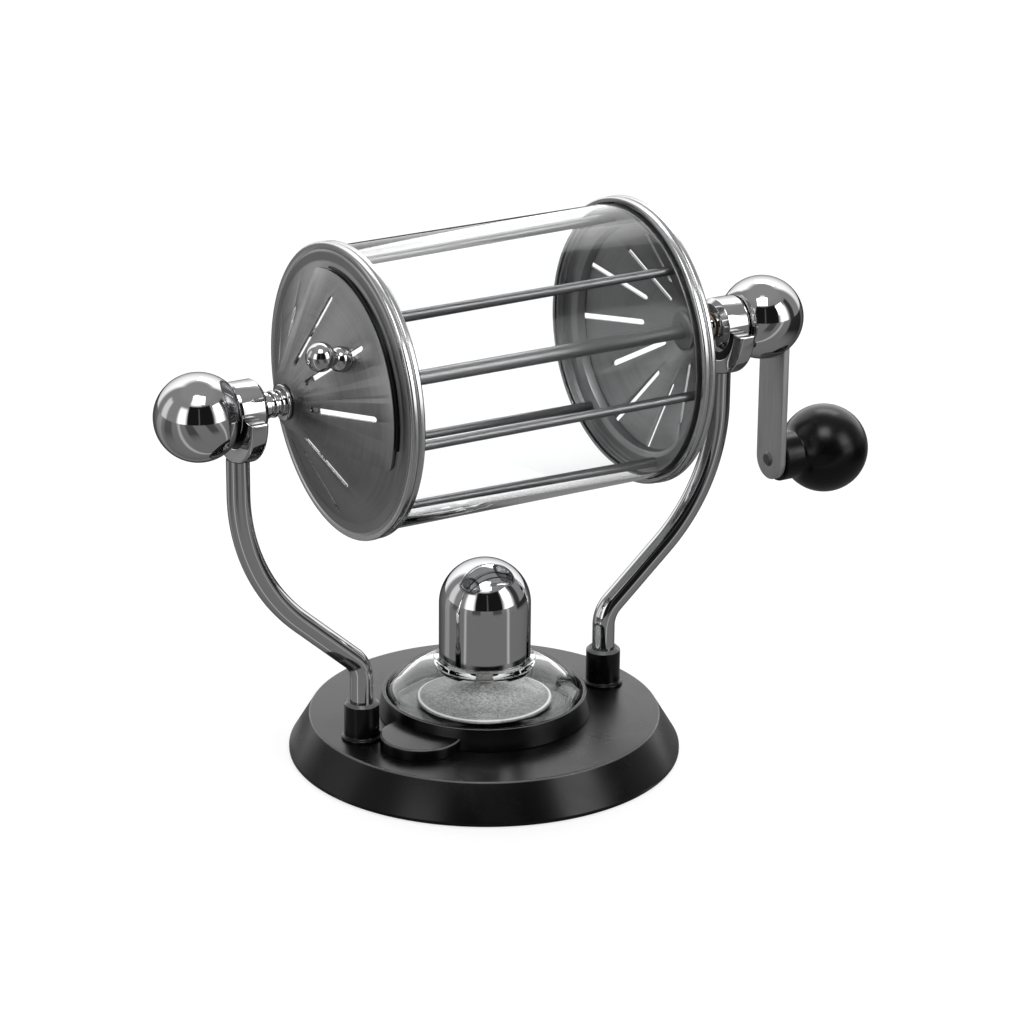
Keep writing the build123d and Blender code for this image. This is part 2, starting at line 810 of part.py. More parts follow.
def door_knob():
    stem = lathe_z([
        (0, 0),
        (door_knob_stem_radius, 0),
        (door_knob_stem_radius, door_thickness),
        (door_knob_neck_radius, door_thickness),
        (door_knob_neck_radius, door_thickness + door_knob_ball_height),
        (0, door_thickness + door_knob_ball_height),
    ])
    bead = Pos(0, 0, door_thickness + door_knob_bead_height) * Sphere(door_knob_bead_radius)
    size = 4 * door_knob_bead_radius
    below = Box(size, size, size, align=(Align.CENTER, Align.CENTER, Align.MAX))
    bead -= Pos(0, 0, door_thickness) * below
    ball = Pos(0, 0, door_thickness + door_knob_ball_height) * Sphere(door_knob_ball_radius)
    knob = door_knob_place() * (stem + bead + ball)
    return on_drum(mirror(knob, about=Plane.YZ))


def all_parts():
    parts = {
        "base_plate": base_plate(),
        "base_pad": base_pad(),
        "socket_screws": socket_screws(),
        "lamp_tray": lamp_tray(),
        "lamp_glass": lamp_glass(),
        "wick_holder": wick_holder(),
        "wick": wick(),
        "snuffer_cap": snuffer_cap(),
        "glass_cylinder": glass_cylinder(),
        "axle": axle(),
        "left_ball": left_ball(),
        "right_ball": right_ball(),
        "crank_arm": crank_arm(),
        "crank_grub_screw": crank_grub_screw(),
        "knob_pin": knob_pin(),
        "knob_clip": knob_clip(),
        "crank_knob": crank_knob(),
        "knob_bush": knob_bush(),
        "fill_door": fill_door(),
        "door_knob": door_knob(),
    }
    paired = {
        "rod_socket": rod_socket,
        "support_rod": support_rod,
        "cradle": cradle,
        "cradle_liner": cradle_liner,
        "bearing_collar": bearing_collar,
        "bearing_bush": bearing_bush,
        "end_cap": end_cap,
        "glass_gasket": glass_gasket,
        "seat_ring": seat_ring,
        "hub_nut": hub_nut,
        "hub_sleeve": hub_sleeve,
    }
    for name, make in paired.items():
        parts["left_" + name] = make(-1)
        parts["right_" + name] = make(1)
    for number in range(mixing_bar_count):
        parts["mixing_bar_" + str(number + 1)] = mixing_bar(number)
    return parts


os.makedirs("parts", exist_ok=True)
for node, solid in all_parts().items():
    export_step(solid, "parts/" + node + ".step")
    print(node, round(solid.volume, 1))
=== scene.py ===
import bpy
import json
import math
from mathutils import Matrix, Vector


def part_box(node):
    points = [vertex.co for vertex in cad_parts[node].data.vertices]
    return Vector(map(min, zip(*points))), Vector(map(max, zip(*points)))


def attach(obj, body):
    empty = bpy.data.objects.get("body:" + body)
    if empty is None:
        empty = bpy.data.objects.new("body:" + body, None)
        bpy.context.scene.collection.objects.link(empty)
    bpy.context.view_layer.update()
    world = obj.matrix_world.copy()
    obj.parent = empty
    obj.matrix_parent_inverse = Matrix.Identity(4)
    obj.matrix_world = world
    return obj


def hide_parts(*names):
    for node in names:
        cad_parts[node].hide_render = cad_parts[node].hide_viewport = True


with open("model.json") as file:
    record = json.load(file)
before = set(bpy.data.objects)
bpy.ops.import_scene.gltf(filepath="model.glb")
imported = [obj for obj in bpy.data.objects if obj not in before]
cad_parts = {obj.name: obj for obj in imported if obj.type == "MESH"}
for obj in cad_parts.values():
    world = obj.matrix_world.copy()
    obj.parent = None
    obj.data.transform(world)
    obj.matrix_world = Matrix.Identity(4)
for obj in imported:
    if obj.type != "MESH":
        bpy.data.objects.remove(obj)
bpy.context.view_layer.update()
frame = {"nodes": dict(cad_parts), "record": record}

mm = 0.001
scene = bpy.context.scene
scene.view_settings.view_transform = "Standard"

glassLow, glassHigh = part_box("glass_cylinder")
drumX = (glassLow.x + glassHigh.x) / 2 / mm      # middle of the drum along its axle
drumZ = (glassLow.z + glassHigh.z) / 2 / mm      # height of the axle
weldGap = 0.002 * mm                             # points closer than this become one


# ---- modelling helpers: an outline is a list of (along, radius, round) in millimetres

def deselectAll():
    if bpy.context.mode != "OBJECT":
        bpy.ops.object.mode_set(mode="OBJECT")
    bpy.ops.object.select_all(action="DESELECT")


def pickOnly(piece):
    deselectAll()
    piece.select_set(True)
    bpy.context.view_layer.objects.active = piece


def roundedOutline(outline, closed):
    # corners with a third value become arcs of that radius
    corners = [Vector((p[0], p[1])) for p in outline]
    points = []
    count = len(corners)
    for i, corner in enumerate(corners):
        radius = outline[i][2] if len(outline[i]) > 2 else 0
        if not radius or (not closed and i in (0, count - 1)):
            points.append(corner)
            continue
        before = corners[i - 1] - corner
        after = corners[(i + 1) % count] - corner
        half = before.angle(after) / 2
        reach = min(radius / math.tan(half), before.length * 0.49, after.length * 0.49)
        radius = reach * math.tan(half)
        start = corner + before.normalized() * reach
        end = corner + after.normalized() * reach
        middle = corner + (before.normalized() + after.normalized()).normalized() * radius / math.sin(half)
        turn = math.pi - 2 * half
        steps = max(2, min(14, round(math.degrees(turn) / 9)))
        first = start - middle
        last = end - middle
        for k in range(steps + 1):
            a = turn * k / steps
            points.append(middle + (first * math.sin(turn - a) + last * math.sin(a)) / math.sin(turn))
    return points


def spinSelected(steps, degrees, centre, axis):
    # with no window the spin operator turns the other way
    bpy.ops.mesh.spin(steps=steps, angle=-math.radians(degrees), center=centre, axis=axis)


def drawnLine(places):
    # one point pulled along from place to place, left in edit mode with all of it selected
    deselectAll()
    bpy.ops.mesh.primitive_plane_add(size=mm, location=(0, 0, 0))
    piece = bpy.context.object
    bpy.ops.object.mode_set(mode="EDIT")
    bpy.ops.mesh.select_mode(type="VERT")
    bpy.ops.mesh.select_all(action="SELECT")
    bpy.ops.mesh.merge(type="CENTER")
    bpy.ops.transform.translate(value=places[0])
    for here, there in zip(places, places[1:]):
        bpy.ops.mesh.extrude_vertices_move(TRANSFORM_OT_translate={"value": there - here})
    bpy.ops.mesh.select_all(action="SELECT")
    return piece


def weld():
    bpy.ops.mesh.select_all(action="SELECT")
    bpy.ops.mesh.remove_doubles(threshold=weldGap)


def finishMesh():
    # turn the faces outward and leave edit mode
    bpy.ops.mesh.select_all(action="SELECT")
    bpy.ops.mesh.normals_make_consistent(inside=False)
    bpy.ops.object.mode_set(mode="OBJECT")


def closeEnds(piece):
    # flat faces over the two ends of a piece that is spun part of a turn
    pickOnly(piece)
    bpy.ops.object.mode_set(mode="EDIT")
    bpy.ops.mesh.select_all(action="SELECT")
    bpy.ops.mesh.fill_holes(sides=0)
    finishMesh()


def turned(name, outline, origin, axis, outward=(0, 0, 1), steps=128, sweep=360, closed=True):
    # an outline drawn in the plane of axis and outward, then spun about the axis
    points = roundedOutline(outline, closed)
    if closed:
        points.append(points[0])
    middle = Vector(origin) * mm
    along = Vector(axis).normalized()
    away = Vector(outward).normalized()
    piece = drawnLine([middle + (along * p.x + away * p.y) * mm for p in points])
    piece.name = name
    spinSelected(steps, sweep, middle, along)
    weld()
    finishMesh()
    return piece


def cut(piece, cutter, operation="DIFFERENCE"):
    pickOnly(piece)
    tool = piece.modifiers.new("cut", "BOOLEAN")
    tool.operation = operation
    tool.solver = "EXACT"
    tool.object = cutter
    bpy.ops.object.modifier_apply(modifier="cut")
    bpy.data.objects.remove(cutter)


def softenEdges(piece, width, segments, angle):
    pickOnly(piece)
    tool = piece.modifiers.new("soften", "BEVEL")
    tool.width = width * mm
    tool.segments = segments
    tool.limit_method = "ANGLE"
    tool.angle_limit = math.radians(angle)
    tool.use_clamp_overlap = True
    bpy.ops.object.modifier_apply(modifier="soften")


def placeOn(piece, body, slot, material, *nodes, angle=35):
    pickOnly(piece)
    bpy.ops.object.shade_smooth_by_angle(angle=math.radians(angle))
    piece.data.materials.clear()
    piece.data.materials.append(material)
    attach(piece, body)
    if nodes:
        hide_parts(*nodes)


def joined(pieces):
    deselectAll()
    for piece in pieces:
        piece.select_set(True)
    bpy.context.view_layer.objects.active = pieces[0]
    bpy.ops.object.join()
    return pieces[0]


# ---- shader helpers

def newGroup(name, inputs, outputs):
    group = bpy.data.node_groups.new(name, "ShaderNodeTree")
    for label, kind, value in inputs:
        socket = group.interface.new_socket(name=label, in_out="INPUT", socket_type=kind)
        if value is not None:
            socket.default_value = value
    for label, kind in outputs:
        group.interface.new_socket(name=label, in_out="OUTPUT", socket_type=kind)
    return group, group.nodes.new("NodeGroupInput"), group.nodes.new("NodeGroupOutput")


def mathNode(tree, operation, a, b=None):
    node = tree.nodes.new("ShaderNodeMath")
    node.operation = operation
    for socket, value in zip(node.inputs, (a, b)):
        if value is None:
            continue
        if isinstance(value, (int, float)):
            socket.default_value = value
        else:
            tree.links.new(value, socket)
    return node.outputs[0]


def plus(tree, a, b):
    return mathNode(tree, "ADD", a, b)


def times(tree, a, b):
    return mathNode(tree, "MULTIPLY", a, b)


def lengthOf(tree, a, b):
    # the distance from an axis, from the two coordinates across it
    return mathNode(tree, "SQRT", plus(tree, times(tree, a, a), times(tree, b, b)))


def splitVector(tree, vector):
    node = tree.nodes.new("ShaderNodeSeparateXYZ")
    tree.links.new(vector, node.inputs[0])
    return node.outputs


def rangeNode(tree, value, low, high, toLow, toHigh, smooth=False):
    node = tree.nodes.new("ShaderNodeMapRange")
    if smooth:
        node.interpolation_type = "SMOOTHSTEP"
    tree.links.new(value, node.inputs["Value"])
    for label, number in (("From Min", low), ("From Max", high), ("To Min", toLow), ("To Max", toHigh)):
        node.inputs[label].default_value = number
    return node.outputs["Result"]


def noiseNode(tree, vector, scale, detail, roughness):
    node = tree.nodes.new("ShaderNodeTexNoise")
    node.inputs["Scale"].default_value = scale
    node.inputs["Detail"].default_value = detail
    node.inputs["Roughness"].default_value = roughness
    tree.links.new(vector, node.inputs["Vector"])
    return node.outputs["Fac"]


def joinVector(tree, x, y, z):
    node = tree.nodes.new("ShaderNodeCombineXYZ")
    for socket, value in zip(node.inputs, (x, y, z)):
        tree.links.new(value, socket)
    return node.outputs[0]


def buildSpunGrain():
    # fine rings round the drum's axle, as a spinning lathe leaves them
    tree, given, out = newGroup(
        "spunGrain",
        [("Vector", "NodeSocketVector", None), ("Density", "NodeSocketFloat", 5200.0)],
        [("Rings", "NodeSocketFloat"), ("Broad", "NodeSocketFloat"), ("Radius", "NodeSocketFloat")],
    )
    x, y, z = splitVector(tree, given.outputs["Vector"])
    radius = lengthOf(tree, y, z)
    angle = mathNode(tree, "ARCTAN2", z, y)
    along = times(tree, plus(tree, radius, mathNode(tree, "ABSOLUTE", x)), given.outputs["Density"])
    breakUp = 0.9        # how soon a ring changes on its way round
    turnsX = times(tree, mathNode(tree, "COSINE", angle), breakUp)
    turnsY = times(tree, mathNode(tree, "SINE", angle), breakUp)
    fine = noiseNode(tree, joinVector(tree, along, turnsX, turnsY), 1.0, 3, 0.6)
    slow = times(tree, along, 0.05)
    broad = noiseNode(tree, joinVector(tree, slow, turnsX, turnsY), 1.6, 3, 0.5)
    tree.links.new(fine, out.inputs["Rings"])
    tree.links.new(broad, out.inputs["Broad"])
    tree.links.new(radius, out.inputs["Radius"])
    return tree


def buildDrawnGrain():
    # lines along one axis, as on drawn or brushed bar
    tree, given, out = newGroup(
        "drawnGrain",
        [("Vector", "NodeSocketVector", None), ("Across", "NodeSocketVector", (1.0, 1.0, 1.0))],
        [("Lines", "NodeSocketFloat"), ("Broad", "NodeSocketFloat")],
    )
    scale = tree.nodes.new("ShaderNodeVectorMath")
    scale.operation = "MULTIPLY"
    tree.links.new(given.outputs["Vector"], scale.inputs[0])
    tree.links.new(given.outputs["Across"], scale.inputs[1])
    tree.links.new(noiseNode(tree, scale.outputs[0], 1.0, 4, 0.65), out.inputs["Lines"])
    tree.links.new(noiseNode(tree, scale.outputs[0], 0.12, 3, 0.5), out.inputs["Broad"])
    return tree


def buildHandling():
    # soft smudges and sparse specks from use
    tree, given, out = newGroup(
        "handling",
        [("Vector", "NodeSocketVector", None), ("Size", "NodeSocketFloat", 60.0)],
        [("Smudge", "NodeSocketFloat"), ("Speck", "NodeSocketFloat")],
    )
    smudge = tree.nodes.new("ShaderNodeTexNoise")
    smudge.inputs["Detail"].default_value = 5
    smudge.inputs["Distortion"].default_value = 0.6
    tree.links.new(given.outputs["Vector"], smudge.inputs["Vector"])
    tree.links.new(given.outputs["Size"], smudge.inputs["Scale"])
    tree.links.new(rangeNode(tree, smudge.outputs["Fac"], 0.42, 0.72, 0, 1, True), out.inputs["Smudge"])
    speck = noiseNode(tree, given.outputs["Vector"], 1900, 2, 0.4)
    tree.links.new(rangeNode(tree, speck, 0.71, 0.76, 0, 1), out.inputs["Speck"])
    return tree


spunGrain = buildSpunGrain()
drawnGrain = buildDrawnGrain()
handling = buildHandling()


def startMaterial(name, color, metallic, roughness):
    material = bpy.data.materials.new(name)
    material.use_nodes = True
    tree = material.node_tree
    shader = tree.nodes["Principled BSDF"]
    shader.inputs["Base Color"].default_value = (*color, 1)
    shader.inputs["Metallic"].default_value = metallic
    shader.inputs["Roughness"].default_value = roughness
    return material, tree, shader


def objectVector(tree, centre=(0, 0, 0)):
    # Object coordinates, moved so that centre is the pattern's middle
    place = tree.nodes.new("ShaderNodeTexCoord")
    shift = tree.nodes.new("ShaderNodeMapping")
    shift.inputs["Location"].default_value = [-c * mm for c in centre]
    tree.links.new(place.outputs["Object"], shift.inputs["Vector"])
    return shift.outputs["Vector"]


def useGroup(tree, group, vector, **values):
    node = tree.nodes.new("ShaderNodeGroup")
    node.node_tree = group
    tree.links.new(vector, node.inputs["Vector"])
    for label, value in values.items():
        node.inputs[label].default_value = value
    return node.outputs


def blendColor(tree, amount, first, second):
    node = tree.nodes.new("ShaderNodeMix")
    node.data_type = "RGBA"
    tree.links.new(amount, node.inputs["Factor"])
    for label, value in (("A", first), ("B", second)):
        socket = [s for s in node.inputs if s.name == label and s.type == "RGBA"][0]
        if isinstance(value, tuple):
            socket.default_value = (*value, 1)
        else:
            tree.links.new(value, socket)
    return [s for s in node.outputs if s.type == "RGBA"][0]


def addBump(tree, shader, height, strength, distance):
    bump = tree.nodes.new("ShaderNodeBump")
    bump.inputs["Strength"].default_value = strength
    bump.inputs["Distance"].default_value = distance * mm
    tree.links.new(height, bump.inputs["Height"])
    tree.links.new(bump.outputs["Normal"], shader.inputs["Normal"])


def addSmudges(tree, shader, vector, size, low, high):
    # smudges take the roughness from low to high; gives the mask of the specks
    marks = useGroup(tree, handling, vector, Size=size)
    tree.links.new(rangeNode(tree, marks["Smudge"], 0, 1, low, high), shader.inputs["Roughness"])
    return marks["Speck"]


def shade(color, factor):
    return tuple(min(1, c * factor) for c in color)


drumCentre = (drumX, 0, drumZ)


def makeChrome():
    color = (0.66, 0.66, 0.67)
    material, tree, shader = startMaterial("polishedChrome", color, 1.0, 0.04)
    shader.inputs["Specular Tint"].default_value = (0.3, 0.3, 0.3, 1)     # dark outlines where the metal turns away
    vector = objectVector(tree)
    speck = addSmudges(tree, shader, vector, 55.0, 0.03, 0.075)
    tree.links.new(blendColor(tree, speck, color, (0.5, 0.5, 0.5)), shader.inputs["Base Color"])
    addBump(tree, shader, noiseNode(tree, vector, 90, 2, 0.4), 0.04, 0.05)
    return material


def makeSpunSteel(name, color, low, high):
    # spun rings, with a smoother rolled rim whose colour is lifted as a painted highlight
    material, tree, shader = startMaterial(name, color, 1.0, 0.3)
    vector = objectVector(tree, drumCentre)
    grain = useGroup(tree, spunGrain, vector, Density=5200.0)
    marks = useGroup(tree, handling, vector, Size=38.0)
    # rolled rim: made smoother, and its colour lifted 1.75 times as a painted highlight
    rim = rangeNode(tree, grain["Radius"], 44.6 * mm, 45.8 * mm, 0, 1, True)
    rough = rangeNode(tree, grain["Rings"], 0.3, 0.7, low, high)
    rough = plus(tree, rough, times(tree, marks["Smudge"], 0.05))
    rough = mathNode(tree, "SUBTRACT", rough, times(tree, rim, 0.15))
    tree.links.new(rough, shader.inputs["Roughness"])
    tone = plus(tree, times(tree, grain["Rings"], 0.6), times(tree, grain["Broad"], 0.4))
    tone = blendColor(tree, rangeNode(tree, tone, 0.34, 0.66, 0, 1), shade(color, 0.84), shade(color, 1.1))
    tree.links.new(blendColor(tree, rim, tone, shade(color, 1.75)), shader.inputs["Base Color"])
    shader.inputs["Anisotropic"].default_value = 0.4
    shader.inputs["Specular Tint"].default_value = (0.55, 0.55, 0.55, 1)
    tangent = tree.nodes.new("ShaderNodeTangent")
    tangent.direction_type = "RADIAL"
    tangent.axis = "X"
    tree.links.new(tangent.outputs[0], shader.inputs["Tangent"])
    addBump(tree, shader, grain["Rings"], 0.08, 0.02)
    return material


def makeDrawnSteel(name, color, across, low, high, grazing):
    # across is how closely the lines lie along each axis, and grazing how bright the metal stays at its outline
    material, tree, shader = startMaterial(name, color, 1.0, 0.3)
    vector = objectVector(tree, drumCentre)
    grain = useGroup(tree, drawnGrain, vector, Across=across)
    marks = useGroup(tree, handling, vector, Size=80.0)
    rough = rangeNode(tree, grain["Lines"], 0.3, 0.7, low, high)
    tree.links.new(plus(tree, rough, times(tree, marks["Smudge"], 0.06)), shader.inputs["Roughness"])
    lines = rangeNode(tree, grain["Lines"], 0.3, 0.7, 0, 1)
    tree.links.new(blendColor(tree, lines, shade(color, 0.8), shade(color, 1.12)), shader.inputs["Base Color"])
    shader.inputs["Specular Tint"].default_value = (grazing, grazing, grazing, 1)
    addBump(tree, shader, grain["Lines"], 0.1, 0.02)
    return material


def makeBlackPaint(name, low, high, highlightAbove):
    # satin black, with a painted highlight: a lighter colour along upward-facing rounded edges above a given height
    color = (0.0025, 0.0025, 0.003)
    material, tree, shader = startMaterial(name, color, 0.0, 0.3)
    shader.inputs["Specular IOR Level"].default_value = 0.32
    vector = objectVector(tree)
    up = splitVector(tree, tree.nodes.new("ShaderNodeNewGeometry").outputs["Normal"])[2]
    height = splitVector(tree, vector)[2]
    # painted highlight: the mask of rounded edges that face upward, above the given height, which get a lighter colour
    rounded = times(tree, rangeNode(tree, up, 0.3, 0.55, 0, 1, True), rangeNode(tree, up, 0.97, 0.86, 0, 1, True))
    edge = times(tree, rounded, rangeNode(tree, height, highlightAbove * mm, (highlightAbove + 0.2) * mm, 0, 1))
    speck = addSmudges(tree, shader, vector, 42.0, low, high)
    paint = blendColor(tree, speck, color, (0.02, 0.02, 0.02))
    tree.links.new(blendColor(tree, edge, paint, (0.13, 0.13, 0.13)), shader.inputs["Base Color"])
    addBump(tree, shader, noiseNode(tree, vector, 2600, 3, 0.5), 0.06, 0.03)
    return material


def makeKnobPlastic():
    color = (0.003, 0.003, 0.0035)
    material, tree, shader = startMaterial("blackKnobPlastic", color, 0.0, 0.16)
    shader.inputs["Specular IOR Level"].default_value = 0.28
    vector = objectVector(tree)
    speck = addSmudges(tree, shader, vector, 70.0, 0.22, 0.36)
    tree.links.new(blendColor(tree, speck, color, (0.015, 0.015, 0.015)), shader.inputs["Base Color"])
    addBump(tree, shader, noiseNode(tree, vector, 700, 3, 0.5), 0.06, 0.03)
    return material


def makeGlass(name, tint, bend, wave, waveSize):
    # bend is the index of refraction; the shadow passes through as if the glass were thin
    material, tree, shader = startMaterial(name, tint, 0.0, 0.0)
    shader.inputs["Transmission Weight"].default_value = 1.0
    shader.inputs["IOR"].default_value = bend
    vector = objectVector(tree)
    addSmudges(tree, shader, vector, 30.0, 0.0, 0.012)
    addBump(tree, shader, noiseNode(tree, vector, waveSize, 2, 0.4), wave, 0.2)
    output = tree.nodes["Material Output"]
    clear = tree.nodes.new("ShaderNodeBsdfTransparent")
    clear.inputs["Color"].default_value = (0.93, 0.94, 0.94, 1)
    mix = tree.nodes.new("ShaderNodeMixShader")
    path = tree.nodes.new("ShaderNodeLightPath")
    tree.links.new(path.outputs["Is Shadow Ray"], mix.inputs[0])
    tree.links.new(shader.outputs[0], mix.inputs[1])
    tree.links.new(clear.outputs[0], mix.inputs[2])
    tree.links.new(mix.outputs[0], output.inputs["Surface"])
    return material


def makeSoft(name, dark, light, size, low, high, depth):
    # rubber, silicone and cotton: a mottled colour with a matt grain
    material, tree, shader = startMaterial(name, dark, 0.0, 0.8)
    vector = objectVector(tree)
    grain = noiseNode(tree, vector, size, 4, 0.6)
    tree.links.new(blendColor(tree, rangeNode(tree, grain, 0.35, 0.65, 0, 1), dark, light), shader.inputs["Base Color"])
    tree.links.new(rangeNode(tree, grain, 0.3, 0.7, low, high), shader.inputs["Roughness"])
    addBump(tree, shader, grain, 0.4, depth)
    return material


padPaintedLight = {"middle": 5.0, "rim": 20.5, "lineFrom": (20.9, 21.4), "lineTo": (22.2, 21.8)}    # radii in millimetres of the painted light on the pad: its bright middle, its rim and the painted highlight line round its edge


def makeFuelPad():
    # grainy, with painted light brightest at the middle and a painted highlight line round its edge
    material, tree, shader = startMaterial("fuelPad", (0.5, 0.5, 0.49), 0.0, 0.7)
    vector = objectVector(tree)
    place = splitVector(tree, vector)
    out = lengthOf(tree, place[0], place[1])
    # painted light: brighter towards the middle, falling off towards the rim
    heap = rangeNode(tree, out, padPaintedLight["middle"] * mm, padPaintedLight["rim"] * mm, 1.0, 0.4, True)
    rise, fall = (
        rangeNode(tree, out, low * mm, high * mm, 0, 1, True) for low, high in (padPaintedLight["lineFrom"], padPaintedLight["lineTo"])
    )
    grain = rangeNode(tree, noiseNode(tree, vector, 1100, 4, 0.6), 0.34, 0.62, 0.4, 1.0)
    # painted highlight: a light line round the pad's edge
    highlightLine = times(tree, times(tree, rise, fall), 0.9)
    tone = mathNode(tree, "MAXIMUM", times(tree, heap, grain), highlightLine)
    tree.links.new(blendColor(tree, tone, (0.03, 0.03, 0.03), (0.97, 0.97, 0.96)), shader.inputs["Base Color"])
    tree.links.new(rangeNode(tree, grain, 0.45, 1, 0.45, 0.8), shader.inputs["Roughness"])
    addBump(tree, shader, grain, 0.5, 0.4)
    return material


def makeBronze():
    material, tree, shader = startMaterial("bronze", (0.5, 0.34, 0.17), 1.0, 0.4)
    vector = objectVector(tree, drumCentre)
    grain = useGroup(tree, drawnGrain, vector, Across=(900.0, 2600.0, 2600.0))
    broad = rangeNode(tree, grain["Broad"], 0.3, 0.7, 0, 1)
    tree.links.new(blendColor(tree, broad, (0.36, 0.23, 0.1), (0.56, 0.38, 0.2)), shader.inputs["Base Color"])
    tree.links.new(rangeNode(tree, grain["Lines"], 0.3, 0.7, 0.3, 0.5), shader.inputs["Roughness"])
    return material


chrome = makeChrome()
capSteel = makeSpunSteel("brushedCapSteel", (0.38, 0.38, 0.385), 0.3, 0.42)
plainSteel = makeDrawnSteel("plainSteel", (0.22, 0.22, 0.225), (60.0, 3200.0, 3200.0), 0.26, 0.4, 0.35)
armSteel = makeDrawnSteel("satinArmSteel", (0.6, 0.6, 0.605), (3000.0, 3000.0, 50.0), 0.42, 0.52, 1.0)
blackPaint = makeBlackPaint("blackPaint", 0.2, 0.28, 16.6)
basePaint = makeBlackPaint("basePaint", 0.24, 0.33, 12.5)
knobPlastic = makeKnobPlastic()
drumGlass = makeGlass("drumGlass", (0.985, 0.99, 0.99), 1.2, 0.02, 14)
lampGlass = makeGlass("lampGlass", (0.88, 0.89, 0.89), 1.22, 0.12, 55)
padRubber = makeSoft("padRubber", (0.02, 0.02, 0.02), (0.045, 0.045, 0.045), 900, 0.7, 0.9, 0.1)
silicone = makeSoft("gasketSilicone", (0.6, 0.6, 0.58), (0.72, 0.72, 0.7), 500, 0.5, 0.65, 0.04)
cotton = makeSoft("cotton", (0.62, 0.6, 0.55), (0.86, 0.84, 0.79), 1500, 0.85, 0.95, 0.3)
bronze = makeBronze()
fuelPad = makeFuelPad()
slotMaterials = {
    "black_paint": blackPaint,
    "pad_rubber": padRubber,
    "plain_steel": plainSteel,
    "polished_chrome": chrome,
    "clear_glass": drumGlass,
    "cotton": cotton,
    "bronze": bronze,
    "brushed_cap_steel": capSteel,
    "gasket_silicone": silicone,
    "satin_arm_steel": armSteel,
    "black_knob_plastic": knobPlastic,
}
for row in frame["record"]["subparts"]:
    node = frame["nodes"][row["node"]]
    node.data.materials.clear()
    node.data.materials.append(slotMaterials[row["material_slot"]])
print("materials done")


# ---- the pieces, as (along, radius, round) outlines about the drum's axle or the lamp's upright axis

def arcPoints(along, radius, size, start, end, steps=14):
    # part of a circle in an outline; 0 degrees points along the axis and 90 away from it
    turns = [math.radians(start + (end - start) * k / steps) for k in range(steps + 1)]
    return [(along + size * math.cos(t), radius + size * math.sin(t)) for t in turns]


def onAxle(name, outline, side=1, **more):
    return turned(name, outline, drumCentre, (side, 0, 0), **more)


def upright(name, outline, x=0.0, y=0.0, **more):
    return turned(name, outline, (x, y, 0), (0, 0, 1), (1, 0, 0), **more)


def aboutAxle(x, radius, angle):
    # a place beside the drum's axle; 0 degrees is its front and 90 its top
    a = math.radians(angle)
    return Vector((x, -radius * math.cos(a), drumZ + radius * math.sin(a)))


def bothEnds(name, outline, body, slot, material, node, **more):
    for side, end in ((-1, "left"), (1, "right")):
        piece = onAxle(end + name, outline, side, **more)
        placeOn(piece, body, slot, material, end + "_" + node)


def roundBar(name, start, end, radius, axis=(1, 0, 0)):
    # a plain cylinder between two points, used to cut with
    middle = (Vector(start) + Vector(end)) / 2 * mm
    bpy.ops.mesh.primitive_cylinder_add(
        vertices=96, radius=radius * mm, depth=(Vector(end) - Vector(start)).length * mm, location=middle,
        rotation=Vector(axis).to_track_quat("Z", "Y").to_euler(),
    )
    bpy.context.object.name = name
    return bpy.context.object


def block(name, low, high):
    middle = (Vector(low) + Vector(high)) / 2 * mm
    bpy.ops.mesh.primitive_cube_add(size=1, location=middle, scale=(Vector(high) - Vector(low)) * mm)
    bpy.ops.object.transform_apply(location=True, rotation=True, scale=True)
    bpy.context.object.name = name
    return bpy.context.object


def selectEdges(piece, wanted):
    # in edit mode, select the edges for which wanted(a, b) is true
    bpy.ops.object.mode_set(mode="EDIT")
    bpy.ops.mesh.select_mode(type="EDGE")
    bpy.ops.mesh.select_all(action="DESELECT")
    bpy.ops.object.mode_set(mode="OBJECT")
    points = piece.data.vertices
    for edge in piece.data.edges:
        a, b = (points[i].co for i in edge.vertices)
        edge.select = wanted(a, b)
    bpy.ops.object.mode_set(mode="EDIT")


def softenedCopy(node, name, width):
    # a copy of a CAD node with its flat faces joined and its sharp edges eased
    piece = bpy.data.objects.new(name, frame["nodes"][node].data.copy())
    scene.collection.objects.link(piece)
    pickOnly(piece)
    bpy.ops.mesh.customdata_custom_splitnormals_clear()
    bpy.ops.object.mode_set(mode="EDIT")
    bpy.ops.mesh.select_all(action="SELECT")
    bpy.ops.mesh.remove_doubles(threshold=0.001 * mm)
    bpy.ops.mesh.dissolve_limited(angle_limit=math.radians(0.6))
    bpy.ops.object.mode_set(mode="OBJECT")
    softenEdges(piece, width, 2, 35)
    return piece


# base
base = {
    "foot": 0.4, "radius": 65.0, "land": 1.2, "top": 13.1, "topRadius": 58.1, "edge": 0.7,
    "recess": 1.4, "recessRadius": 55.75,
}
basePlate = upright("basePlate", [
    (base["recess"], 0),
    (base["recess"], base["recessRadius"]),
    (base["foot"], base["recessRadius"], 0.3),
    (base["foot"], base["radius"], 0.3),
    (base["foot"] + base["land"], base["radius"], 0.5),
    (base["top"], base["topRadius"], base["edge"]),
    (base["top"], 0),
], steps=192, closed=False)
socket = {
    "spread": 46.3, "radius": 5.75, "flange": 6.7, "flangeTop": 0.85, "waist": 1.5, "top": 26.2, "chamfer": 1.0,
    "bore": 3.8, "floor": 16.6, "screwHole": 2.0, "screwTop": 20.0, "headHole": 4.0, "headTop": 9.6,
}
for x in (-socket["spread"], socket["spread"]):
    cut(basePlate, roundBar("screwHole", (x, 0, 0), (x, 0, socket["screwTop"]), socket["screwHole"], (0, 0, 1)))
    cut(basePlate, roundBar("headHole", (x, 0, -1), (x, 0, socket["headTop"]), socket["headHole"], (0, 0, 1)))
placeOn(basePlate, "stand", "black_paint", basePaint, "base_plate")
